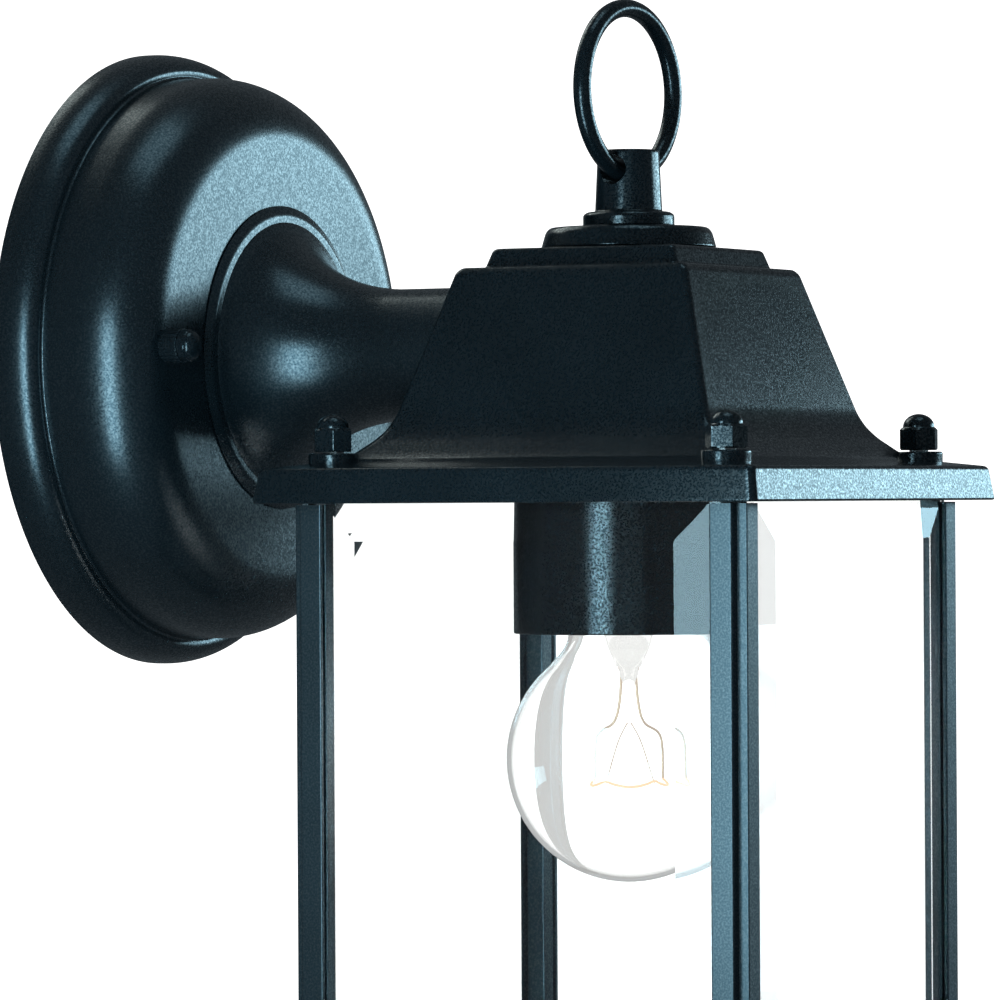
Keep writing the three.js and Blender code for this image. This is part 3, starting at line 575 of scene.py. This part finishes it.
# %% Roof
BRIM_HALF, BRIM_HEIGHT = 57.15, 7.1
BLOCK_HALF, BLOCK_Z = 22.1, 52.1
CEILING_Z = 45.0
PIPE_HOLE, BRIM_OPEN = 4.0, 42.0
NUT_PLACE, BOSS_R, BOSS_HOLE, BOSS_TOP = 44.8, 5.0, 2.2, 10.2
roof_corners = [
    (40.0, 0.0, 0),
    (BRIM_HALF, 0.0, 0.5),
    (BRIM_HALF - 1.1, BRIM_HEIGHT, 0.9),
    (44.0, BRIM_HEIGHT + 1.6, 6),
    (EAVE_HALF + 6.6, BRIM_HEIGHT + 2.9, 3),
    (EAVE_HALF + 3, BRIM_HEIGHT + 6.1, 3),
    (EAVE_HALF + EAVE_OUT, EAVE_Z - EAVE_DROP, 1),
    (EAVE_HALF, EAVE_Z, 1.2),
    (TOP_HALF, TOP_Z - TOP_ROUND, 0.7),
    (TOP_HALF - 1, TOP_Z, 0.5),
    (BLOCK_HALF, TOP_Z + 0.1, 0.35),
    (BLOCK_HALF - 1.3, BLOCK_Z, 0.9),
    (PIPE_HOLE, BLOCK_Z, 0),
    (PIPE_HOLE, CEILING_Z, 0),
    (TOP_HALF - 3.2, CEILING_Z, 1),
    (EAVE_HALF - 3.0, EAVE_Z, 2),
    (EAVE_HALF + 1, BRIM_HEIGHT + 1.4, 2),
    (BRIM_OPEN, BRIM_HEIGHT - 2.4, 1),
    (BRIM_OPEN, 0.5, 0),
]
roof_outline = rounded(roof_corners, 0.5)
corner_radius = np.interp(roof_outline[:, 1], [0, 7, 12, 18, 47, 52], [1.6, 1.4, 1.6, 1.5, 1.3, 1.1])
boss = rounded(
    [(BOSS_HOLE, BRIM_HEIGHT), (BOSS_R, BRIM_HEIGHT), (BOSS_R, BOSS_TOP, 0.5), (BOSS_HOLE, BOSS_TOP)], 0
)
roof_grids = [(square_turned(roof_outline, corner_radius), True, True)]
roof_grids += [
    (turned(boss, 40, (sx * NUT_PLACE, sy * NUT_PLACE)), True, True) for sx in (-1, 1) for sy in (-1, 1)
]
roof = piece("cast_roof", roof_grids, "fitting", cast_black, sharp=38)
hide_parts("roof")

# %% [markdown]
# ## Finial
# A flat turned disc, a stem with a cross hole and a ring that swings in the hole. The hole is bored
# through the turned stem with a Boolean modifier, and the result is kept as a plain mesh.

# %% Disc and stem
DISC_BOTTOM = BLOCK_Z + 0.3
DISC_R, DISC_HIGH = 18.1, 4.2
disc_outline = rounded(
    [
        (3.0, DISC_BOTTOM, 0),
        (DISC_R, DISC_BOTTOM, 0.4),
        (DISC_R - 0.9, DISC_BOTTOM + DISC_HIGH - 1, 0.8),
        (DISC_R - 1.8, DISC_BOTTOM + DISC_HIGH, 0.7),
        (3.0, DISC_BOTTOM + DISC_HIGH, 0),
    ],
    0,
)
disc = piece(
    "finial_plate", [(turned(disc_outline, 96), True, True)], "fitting", cast_black, sharp=50
)
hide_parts("finial_disc")

COLLAR_Z = DISC_BOTTOM + DISC_HIGH + 0.3
STEM_Z, STEM_TOP = COLLAR_Z + 3.0, COLLAR_Z + 15.8
COLLAR_R, STEM_R, STEM_TAPER = 9.45, 6.95, 0.6
RING_R, WIRE = 17.1, 1.87
RING_TURN = math.radians(-5.6)
RING_RISE = RING_R - math.sqrt(RING_R**2 - STEM_R**2)
HOLE_Z = STEM_TOP - 4.25
HOLE_R = RING_RISE / 2 + WIRE * 1.1 + 0.35
stem_outline = rounded(
    [
        (0.0, COLLAR_Z, 0),
        (COLLAR_R, COLLAR_Z, 0.3),
        (COLLAR_R, STEM_Z - 0.7, 0.8),
        (COLLAR_R - 0.85, STEM_Z - 0.1, 0.5),
        (STEM_R, STEM_Z, 0.35),
        (STEM_R - STEM_TAPER, STEM_TOP - 0.1, 0.6),
        (0.0, STEM_TOP, 0),
    ],
    0,
)
stem = piece(
    "finial_post", [(turned(stem_outline, 96), True, False)], "fitting", cast_black, ride=False
)


def bored(body, centre, direction, radius, length):
    """Body with a round hole of that radius through centre, along direction."""
    bpy.ops.mesh.primitive_cylinder_add(vertices=64, radius=radius, depth=length)
    tool = bpy.context.object
    aim = Vector(direction).to_track_quat("Z", "Y").to_matrix().to_4x4()
    tool.data.transform(Matrix.Translation(Vector(centre)) @ aim)
    cut = body.modifiers.new("bore", "BOOLEAN")
    cut.object = tool
    cut.operation = "DIFFERENCE"
    cut.solver = "EXACT"
    evaluated = body.evaluated_get(bpy.context.evaluated_depsgraph_get())
    kept = bpy.data.meshes.new_from_object(evaluated)
    body.modifiers.clear()
    body.data = kept
    bpy.data.objects.remove(tool)
    kept.shade_smooth()
    kept.set_sharp_from_angle(angle=math.radians(38))
    return body


across = (math.cos(RING_TURN), math.sin(RING_TURN), 0)
bored(stem, (0, AXIS[1], AXIS[2] + HOLE_Z * MM), across, HOLE_R * MM, 0.03)
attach(stem, "fitting")
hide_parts("finial_stem")
print("stem bored", round(HOLE_R * 2, 2), "mm")

# %% Ring
ring_angle = np.linspace(0, 2 * np.pi, 120, endpoint=False)[:, None]
wire_angle = np.linspace(0, 2 * np.pi, 24, endpoint=False)[None]
reach = RING_R + WIRE * np.cos(wire_angle)
ring_side = reach * np.cos(ring_angle)
ring_up = reach * np.sin(ring_angle)
ring_deep = np.broadcast_to(WIRE * np.sin(wire_angle), ring_side.shape)
ring_z = HOLE_Z + RING_R - RING_RISE / 2
ring_points = np.stack(
    [
        ring_side * math.cos(RING_TURN) - ring_deep * math.sin(RING_TURN),
        ring_side * math.sin(RING_TURN) + ring_deep * math.cos(RING_TURN),
        ring_up + ring_z,
    ],
    -1,
)
ring = piece(
    "finial_loop", [(ring_points * MM + AXIS, True, True)], "ring", cast_black, sharp=180
)
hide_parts("finial_ring")

# %% [markdown]
# ## Corner posts
# Each post is a drawn bar with a notch along its outer corner and a groove for each pane. The section is
# an outline in distances inwards from the corner, rounded a little, and the bar is that section carried
# straight down. The other three posts are quarter turns of the first.

# %% Posts
POST_HALF, POST_SIDE, NOTCH = 51.3, 7.2, 2.3
LIP, GROOVE, GROOVE_REACH = 1.0, 2.1, 2.4
PANEL_BOTTOM, JOINT_GAP = -112.0, 0.3
leg = LIP + GROOVE
half_section = [
    (NOTCH, NOTCH, 0.25),
    (NOTCH, 0, 0.3),
    (POST_SIDE, 0, 0.25),
    (POST_SIDE, LIP, 0.2),
    (POST_SIDE - GROOVE_REACH, LIP, 0),
    (POST_SIDE - GROOVE_REACH, leg, 0),
    (POST_SIDE, leg, 0.2),
    (POST_SIDE, POST_SIDE, 0.3),
]
other_half = [(b, a, r) for a, b, r in half_section[-2:0:-1]]
section = rounded(half_section + other_half, 0.25, closed=True, steps=4, guard=0.15)
post_heights = np.array([-JOINT_GAP, PANEL_BOTTOM + JOINT_GAP])


def post_bar(quarter):
    """The section at both heights, moved to the corner and turned by quarters about the axis."""
    x = np.repeat(section[:, :1] - POST_HALF, 2, 1)
    y = np.repeat(section[:, 1:] - POST_HALF, 2, 1)
    a = quarter * math.pi / 2
    z = np.broadcast_to(post_heights, x.shape)
    turned_x = x * math.cos(a) - y * math.sin(a)
    turned_y = x * math.sin(a) + y * math.cos(a)
    return np.stack([turned_x, turned_y, z], -1) * MM + AXIS


CORNERS = ["front_left", "front_right", "back_right", "back_left"]
for quarter, corner in enumerate(CORNERS):
    bar = piece(
        "corner_post_" + corner,
        [(post_bar(quarter), True, False)],
        "fitting",
        drawn_black,
        sharp=25,
    )
    work = bmesh.new()
    work.from_mesh(bar.data)
    bmesh.ops.holes_fill(work, edges=[e for e in work.edges if e.is_boundary])
    bmesh.ops.recalc_face_normals(work, faces=work.faces)
    work.to_mesh(bar.data)
    work.free()
    bar.data.set_sharp_from_angle(angle=math.radians(25))
    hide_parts("post_" + corner)

# %% [markdown]
# ## Nuts
# An acorn nut is a hexagon with its corners chamfered by a cone, under a dome. Both shapes are one
# surface: at each height the radius is the smaller of the hexagon's and a round outline's, so the
# chamfer's curved corner marks appear by themselves.

# %% Acorn nuts
NUT_Z, NUT_HEX, NUT_R, DOME_R = 10.5, 4.7, 4.3, 3.3


def hexagon(angle, across_corners, turn=0.0):
    """Radius of a hexagon at an angle: its flat's distance over the cosine of the angle from that flat."""
    step = math.pi / 3
    off = np.mod(angle + turn, step) - step / 2
    return across_corners * math.cos(step / 2) / np.cos(off)


def hex_piece(outline, hex_rows, across_corners, centre, around=144, turn=0.0, out=False):
    """Round outline cut by the hexagon on the rows that hex_rows marks."""
    angle = np.linspace(0, 2 * np.pi, around, endpoint=False)[:, None]
    six = np.where(hex_rows[None], hexagon(angle, across_corners, turn), 1e9)
    radius = np.minimum(outline[None, :, 0], six)
    a = radius * np.cos(angle) + centre[0]
    b = radius * np.sin(angle) + centre[1]
    h = np.broadcast_to(outline[None, :, 1], a.shape)
    if out:
        return np.stack([a, -h, b], -1) * MM
    return np.stack([a, b, h], -1) * MM + AXIS


dome_t = np.radians(np.linspace(0, 90, 14))
nut_outline = np.concatenate(
    [
        [[0, NUT_Z], [3.75, NUT_Z], [4.3, NUT_Z + 0.32], [4.31, NUT_Z + 0.4]],
        [[4.31, NUT_Z + NUT_HEX - 0.5], [4.3, NUT_Z + NUT_HEX - 0.42]],
        [[3.62, NUT_Z + NUT_HEX - 0.02], [3.42, NUT_Z + NUT_HEX]],
        np.stack(
            [DOME_R * np.cos(dome_t), NUT_Z + NUT_HEX + 0.15 + (DOME_R - 0.55) * np.sin(dome_t)], -1
        ),
    ]
)
nut_rows = np.arange(len(nut_outline)) < 8
for (sx, sy), corner, turn in zip([(-1, -1), (1, -1), (1, 1), (-1, 1)], CORNERS, (0.3, 0.75, 0.1, 0.5)):
    nut = piece(
        "dome_nut_" + corner,
        [
            (
                hex_piece(nut_outline, nut_rows, NUT_R, (sx * NUT_PLACE, sy * NUT_PLACE), turn=turn),
                True,
                False,
            )
        ],
        "fitting",
        cast_black,
        sharp=28,
    )
    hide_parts("acorn_nut_" + corner)

# %% [markdown]
# The nuts that hold the canopy have a knurled collar for the fingers and a small faceted cap. The knurl
# is a ripple added to the radius, and the cap uses the same hexagon as the acorn nuts.

# %% Canopy nuts
CAP_R, COLLAR_H, CAP_H = 3.65, 4.2, 2.1
cap_z = CANOPY_DEPTH + 0.3
cap_outline = np.concatenate(
    [
        rounded(
            [
                (0, cap_z, 0),
                (CAP_R - 0.1, cap_z, 0.25),
                (CAP_R - 0.1, cap_z + COLLAR_H, 0.3),
                (CAP_R - 0.55, cap_z + COLLAR_H + 0.02, 0),
            ],
            0,
        ),
        [[CAP_R - 0.3, cap_z + COLLAR_H + 0.1], [CAP_R - 0.3, cap_z + COLLAR_H + CAP_H - 0.6]],
        np.stack(
            [
                (CAP_R - 0.6) * np.cos(dome_t),
                cap_z + COLLAR_H + CAP_H - 0.4 + 1.9 * np.sin(dome_t),
            ],
            -1,
        ),
    ]
)
cap_high = -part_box("cap_nut_left")[0].y / MM
cap_outline[:, 1] = np.minimum(cap_outline[:, 1], cap_high)
cap_rows = cap_outline[:, 1] > cap_z + COLLAR_H + 0.05
for label in ("left", "right"):
    low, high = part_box("cap_nut_" + label)
    centre = ((low.x + high.x) / 2 / MM, (low.z + high.z) / 2 / MM)
    grid = hex_piece(cap_outline, cap_rows, CAP_R, centre, around=192, turn=0.4, out=True)
    angle = np.linspace(0, 2 * np.pi, 192, endpoint=False)
    ripple = 1 + 0.018 * np.sin(24 * angle)
    on_collar = (~cap_rows) & (cap_outline[:, 0] > CAP_R - 0.5)
    scale = np.where(on_collar[None], ripple[:, None], 1.0)
    grid[..., 0] = (grid[..., 0] - centre[0] * MM) * scale + centre[0] * MM
    grid[..., 2] = (grid[..., 2] - centre[1] * MM) * scale + centre[1] * MM
    cap = piece("canopy_nut_" + label, [(grid, True, False)], "fitting", cast_black, sharp=24)
    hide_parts("cap_nut_" + label)

# %% [markdown]
# ## Base frame
# The open frame under the panes is a second square casting, with a slope on top, a small step on its
# outside and a flange that the corner screws go up through.

# %% Base frame
BASE_HALF, BASE_TOP, BASE_BOTTOM = 54.0, PANEL_BOTTOM, -120.0
BASE_OPEN, BASE_LIP, WEB = 32.0, 42.0, 2.6
base_outline = rounded(
    [
        (BASE_OPEN, BASE_BOTTOM, 0.5),
        (BASE_HALF, BASE_BOTTOM, 0.6),
        (BASE_HALF, BASE_BOTTOM + 3.4, 0.7),
        (BASE_HALF - 1.6, BASE_TOP, 0.7),
        (BASE_LIP, BASE_TOP, 0.4),
        (BASE_LIP, BASE_BOTTOM + WEB, 0.8),
        (BASE_OPEN, BASE_BOTTOM + WEB, 0.5),
    ],
    0.5,
    closed=True,
)
base_corner = np.interp(base_outline[:, 0], [BASE_OPEN, BASE_LIP, BASE_HALF], [2.5, 2.0, 1.6])
base = piece(
    "cast_base_frame",
    [(square_turned(base_outline, base_corner), True, True)],
    "fitting",
    cast_black,
    sharp=38,
)
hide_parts("base_frame")

# %% [markdown]
# ## Lampholder cup and lamp
# A plain turned cup hides the porcelain lampholder. The lamp below it is a clear globe on a short neck: the
# globe is most of a circle, and its neck curves into the screw cap. Outer and inner skins are one outline.

# %% Cup
CUP_R, CUP_MOUTH, CUP_TOP, CUP_WALL = 23.7, -27.0, 12.0, 0.9
cup_outline = rounded(
    [
        (5.2, CUP_TOP - CUP_WALL, 0),
        (CUP_R - CUP_WALL, CUP_TOP - CUP_WALL, 1.0),
        (CUP_R - CUP_WALL, CUP_MOUTH, 0.3),
        (CUP_R, CUP_MOUTH, 0.35),
        (CUP_R, CUP_TOP, 1.6),
        (5.2, CUP_TOP, 0),
    ],
    0,
)
cup = piece("lamp_cup", [(turned(cup_outline, 128), True, True)], "fitting", cast_black)
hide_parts("socket_cup")

# %% Globe lamp
LAMP_CAP_R, LAMP_CAP_BOTTOM, LAMP_CAP_TOP = 13.0, -24.5, -3.0
GLOBE_R, GLOBE_Z, SKIN = 25.3, -53.0, 0.9
neck = LAMP_CAP_R - 0.9


def globe_skin(radius, neck_radius):
    """Circle about the globe's middle, from its foot to 50 degrees above the middle, then a curve into the
    neck."""
    ball = ellipse_arc(0, GLOBE_Z, radius, radius, -90, 50, 40)
    return np.concatenate(
        [
            np.array([p[:2] for p in ball]),
            rounded(
                [
                    (ball[-1][0] - 0.25, ball[-1][1] + 0.35, 0),
                    (neck_radius + 0.5, LAMP_CAP_BOTTOM - 5.0, 3.0),
                    (neck_radius, LAMP_CAP_BOTTOM + 1, 0),
                    (neck_radius, LAMP_CAP_TOP - 9, 0),
                ],
                0,
            ),
        ]
    )


globe_outline = np.concatenate([globe_skin(GLOBE_R, neck), globe_skin(GLOBE_R - SKIN, neck - SKIN)[::-1]])
globe = piece("globe_envelope", [(turned(globe_outline, 128), True, False)], "lamp", lamp_glass)
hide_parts("bulb_glass")

# %% [markdown]
# The screw cap is rolled aluminium with a rounded thread. Its radius is a ripple that climbs by one pitch
# as the angle goes once round, and it fades out at both ends of the cap.

# %% Screw cap
PITCH, THREAD_DEPTH, CAP_AROUND = 3.63, 0.84, 96
angle = np.linspace(0, 2 * np.pi, CAP_AROUND, endpoint=False)[:, None]
height = np.linspace(LAMP_CAP_BOTTOM, LAMP_CAP_TOP, 70)[None]
fade = np.clip((height - LAMP_CAP_BOTTOM - 1.5) / 2, 0, 1)
fade = fade * np.clip((LAMP_CAP_TOP - 0.5 - height) / 1.5, 0, 1)
wave = np.cos(2 * np.pi * (height / PITCH - angle / (2 * np.pi)))
thread = LAMP_CAP_R - 0.45 + THREAD_DEPTH / 2 * wave * fade
inner_wall = np.array([LAMP_CAP_R - 4, LAMP_CAP_R - 4, LAMP_CAP_R - 1.0])[None]
inner_z = np.array([LAMP_CAP_TOP + 0.6, LAMP_CAP_TOP, LAMP_CAP_TOP - 1.0])[None]
top_rim = np.full((CAP_AROUND, 1), LAMP_CAP_R - 3)
bottom_rim = np.full((CAP_AROUND, 1), LAMP_CAP_R - 0.89)
radius = np.concatenate([thread, top_rim, np.repeat(inner_wall, CAP_AROUND, 0), bottom_rim], 1)
level = np.concatenate([height[0], [LAMP_CAP_TOP + 0.6], inner_z[0], [LAMP_CAP_BOTTOM]])[None]
cap_points = np.stack(
    [radius * np.cos(angle), radius * np.sin(angle), np.broadcast_to(level, radius.shape)], -1
)
lamp_cap = piece(
    "lamp_screw_cap", [(cap_points * MM + AXIS, True, True)], "lamp", aluminium, sharp=60
)
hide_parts("bulb_cap")

# %% [markdown]
# Inside the globe a flared glass stem carries a thin glass rod, two lead wires and an open loop of coiled
# filament. The stem is turned, and the wires are round sections carried along smooth paths.

# %% Glass stem
PRESS_Z, BUTTON_Z = -36.0, -45.0
mount_outline = rounded(
    [
        (0.0, LAMP_CAP_TOP - 11, 0),
        (8.6, LAMP_CAP_TOP - 11.4, 0.8),
        (5.6, -25.0, 4),
        (3.9, -32.0, 3),
        (1.5, PRESS_Z - 0.5, 1.5),
        (1.0, PRESS_Z - 2.5, 1),
        (1.0, BUTTON_Z + 1.4, 0.5),
        (1.8, BUTTON_Z, 0.8),
        (0.0, BUTTON_Z - 1.1, 0),
    ],
    0,
)
mount = piece("lamp_glass_stem", [(turned(mount_outline, 64), True, False)], "lamp", lamp_glass)
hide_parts("bulb_mount")


# %% Filament and its wires
def smooth_path(points, count):
    """A path through the points: cubic blends with tangents from the neighbours, count points in all."""
    p = np.array(points, float)
    tangent = np.gradient(p, axis=0)
    u = np.linspace(0, len(p) - 1 - 1e-9, count)
    k = u.astype(int)
    f = (u - k)[:, None]
    a, b, ta, tb = p[k], p[k + 1], tangent[k], tangent[k + 1]
    blend = (2 * f**3 - 3 * f**2 + 1) * a + (-2 * f**3 + 3 * f**2) * b
    return blend + (f**3 - 2 * f**2 + f) * ta + (f**3 - f**2) * tb


def tube(path, radius, around=8, guide=(0.31, 0.87, 0.38)):
    """Circles of that radius across the path, each on two directions square to it. Both ends close to a
    point."""
    along = np.gradient(path, axis=0)
    along /= np.linalg.norm(along, axis=1, keepdims=True)
    first = np.cross(along, np.array(guide))
    first /= np.linalg.norm(first, axis=1, keepdims=True)
    second = np.cross(along, first)
    a = np.linspace(0, 2 * np.pi, around, endpoint=False)[:, None, None]
    ring_points = path[None] + radius * (np.cos(a) * first[None] + np.sin(a) * second[None])
    start = np.broadcast_to(path[None, :1], (around, 1, 3))
    end = np.broadcast_to(path[None, -1:], (around, 1, 3))
    return np.concatenate([start, ring_points, end], 1)


def lamp_wire(points, radius, count):
    """A round wire through the points, which are in millimetres about the lantern's axis."""
    return tube(smooth_path(points, count) * MM + AXIS, radius * MM)


hot = Finish("glowing_tungsten")
hot_cloud = hot.noise(900, 1)
tungsten_hot = hot.wear(
    Base_Color=(0.3, 0.26, 0.2, 1),
    Metallic=1.0,
    Roughness=0.5,
    Emission_Color=hot.mix(hot_cloud, (1.0, 0.5, 0.18, 1), (1.0, 0.68, 0.36, 1)),
    Emission_Strength=0.8,
)
LOOP_R, LOOP_Z = 7.9, -57.3
loop_turn = np.radians(np.linspace(92, 326, 25))
sag = 1.1 * np.abs(np.sin(3 * (loop_turn - loop_turn[0]) * 180 / 234))
loop = np.stack([LOOP_R * np.cos(loop_turn), LOOP_R * np.sin(loop_turn), LOOP_Z - sag], -1)
filament = piece(
    "lamp_filament",
    [(lamp_wire(loop, 0.3, 220), True, False)],
    "lamp",
    tungsten_hot,
    sharp=180,
)
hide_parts("bulb_filament")
holder_turns = loop_turn[[8, 16]]
holders = []
for east, north in np.stack([np.cos(holder_turns), np.sin(holder_turns)], -1).tolist():
    holders.append(
        [(0.5 * east, 0.5 * north, BUTTON_Z - 0.4), (3.8 * east, 3.8 * north, -49.5)]
        + [(LOOP_R * east, LOOP_R * north, LOOP_Z - 0.5)]
    )
lead_paths = []
for tip in (loop[0], loop[-1]):
    east, north = (tip[:2] / LOOP_R).tolist()
    lead_paths.append(
        [(1.6 * east, 1.6 * north, PRESS_Z + 1.5), (2.2 * east, 2.2 * north, -41.5)]
        + [(3.6 * east, 3.6 * north, -45.6), (7.4 * east, 7.4 * north, -48.6), tuple(tip)]
    )
copper = plain_metal("copper_clad_wire", (0.5, 0.3, 0.16, 1), (0.72, 0.5, 0.3, 1), 0.35, 2500)
piece(
    "lamp_lead_wires",
    [(lamp_wire(points, 0.28, 60), True, False) for points in lead_paths]
    + [(lamp_wire(points, 0.12, 30), True, False) for points in holders],
    "lamp",
    copper,
    sharp=180,
)

# %% [markdown]
# ## Finishes for the CAD pieces that stay
# The panes and all the hidden hardware already have the right shape, so their solids stay and get a finish.

# %% Dress the CAD pieces
KEPT = {
    pane_glass: ["glass_front", "glass_right", "glass_back", "glass_left"],
    zinc: ["crossbar", "mounting_stud_left", "mounting_stud_right", "arm_pipe", "arm_nut_back"]
    + ["arm_nut_front", "centre_pipe", "cup_nut", "roof_nut"]
    + ["post_stud_" + c for c in CORNERS]
    + ["base_screw_" + c for c in CORNERS],
    green_zinc: ["ground_screw"],
    foam: ["wall_gasket"],
    porcelain: ["lampholder_body"],
    brass: ["screw_shell", "centre_contact"],
    vitrite: ["bulb_insulator"],
    solder: ["bulb_tip"],
    wire_black: ["supply_wire_black"],
    wire_white: ["supply_wire_white"],
    wire_green: ["ground_wire"],
    red_nylon: ["wire_connector_left", "wire_connector_right"],
}
for finish, names in KEPT.items():
    for name in names:
        mesh = nodes[name].data
        mesh.materials.clear()
        mesh.materials.append(finish)
print("dressed", sum(len(names) for names in KEPT.values()), "CAD pieces")

# %% [markdown]
# ## Studio
# A white room, a pale floor and soft boxes. The room is white behind the lantern, seen directly or
# through its glass, and dark for reflections, so that the black coat shows only the boxes. The floor is
# there only for a direct look from above, and from below it is clear.
#
# One wide low box stands to the right and starts just above eye level: it makes the bright face of the
# canopy. A small strip close to the left lights the near post, the cup and the canopy's shoulder, and
# leaves the far post dark, which only a near light can do. Weak boxes lift the left, the tops and the
# back.

# %% Room and floor
scene = bpy.context.scene
scene.view_settings.view_transform = "Standard"
world = bpy.data.worlds.new("white_room")
scene.world = world
world.use_nodes = True
room = world.node_tree
room.nodes.clear()
world_out = room.nodes.new("ShaderNodeOutputWorld")
light_path = room.nodes.new("ShaderNodeLightPath")
bounces = Value(room, light_path.outputs["Glossy Depth"]) + Value(room, light_path.outputs["Diffuse Depth"])
seen = bounces.math("LESS_THAN", bounces, 0.5)
white = room.nodes.new("ShaderNodeBackground")
white.inputs["Color"].default_value = (1, 1, 1, 1)
white.inputs["Strength"].default_value = 1.5
dim = room.nodes.new("ShaderNodeBackground")
dim.inputs["Color"].default_value = (0.75, 0.9, 1.0, 1)
dim.inputs["Strength"].default_value = 0.1
blend_room = room.nodes.new("ShaderNodeMixShader")
room.links.new(seen.socket, blend_room.inputs[0])
room.links.new(dim.outputs[0], blend_room.inputs[1])
room.links.new(white.outputs[0], blend_room.inputs[2])
room.links.new(blend_room.outputs[0], world_out.inputs["Surface"])

floor_mesh = bpy.data.meshes.new("studio_floor")
reach = 4.0  # metres from the middle to each edge
FLOOR_BELOW = 1.4
floor_z = cad_box[0].z - FLOOR_BELOW
floor_mesh.from_pydata(
    [(-reach, -reach, floor_z), (reach, -reach, floor_z), (reach, reach, floor_z), (-reach, reach, floor_z)],
    [],
    [(0, 1, 2, 3)],
)
floor = bpy.data.objects.new("studio_floor", floor_mesh)
scene.collection.objects.link(floor)
floor.visible_glossy = False
floor.visible_diffuse = False
paper = Finish("studio_paper")
bounced = paper.node("ShaderNodeLightPath", out="Glossy Depth")
bounced = bounced + paper.node("ShaderNodeLightPath", out="Diffuse Depth")
direct = bounced.math("LESS_THAN", bounced, 0.5)
underside = paper.node("ShaderNodeNewGeometry", out="Backfacing")
floor_mesh.materials.append(
    paper.wear(
        Base_Color=(0.86, 0.87, 0.88, 1),
        Roughness=0.9,
        Specular_IOR_Level=0.1,
        Emission_Color=(1, 1, 1, 1),
        Emission_Strength=0.85,
        Alpha=direct * (1 - underside),
    )
)
print("floor at", round(floor_z, 3))


# %% Soft boxes
def soft_box(name, azimuth, elevation, distance, width, height, radiance, colour=(0.54, 0.86, 1.0)):
    """A rectangular light that faces the lantern. Azimuth is counted from -Y towards +X. Its power is the
    radiance times pi times its area."""
    light = bpy.data.lights.new(name, "AREA")
    light.shape = "RECTANGLE"
    light.size = width
    light.size_y = height
    light.energy = radiance * math.pi * width * height
    light.color = colour
    lamp = bpy.data.objects.new(name, light)
    scene.collection.objects.link(lamp)
    a, e = math.radians(azimuth), math.radians(elevation)
    way = Vector((math.sin(a) * math.cos(e), -math.cos(a) * math.cos(e), math.sin(e)))
    target = Vector((0, AXIS[1] * 0.7, 0))
    lamp.location = target + way * distance
    lamp.rotation_euler = way.to_track_quat("Z", "Y").to_euler()
    lamp.visible_camera = False
    return lamp


soft_box("right_box", 59, 6.6, 1.7, 1.3, 0.31, 5.9)
soft_box("near_box", -62, 2, 2.1, 0.7, 1.1, 0.25)
soft_box("left_box", -81, -11, 0.24, 0.07, 0.21, 9.0)
soft_box("top_box", 0, 82, 1.6, 0.8, 0.8, 1.2)
soft_box("back_box", 165, 40, 1.6, 0.9, 0.9, 1.6, (0.86, 0.95, 0.9))

# %% Size of the CAD model
print("cad", [[round(v, 4) for v in c] for c in cad_box])
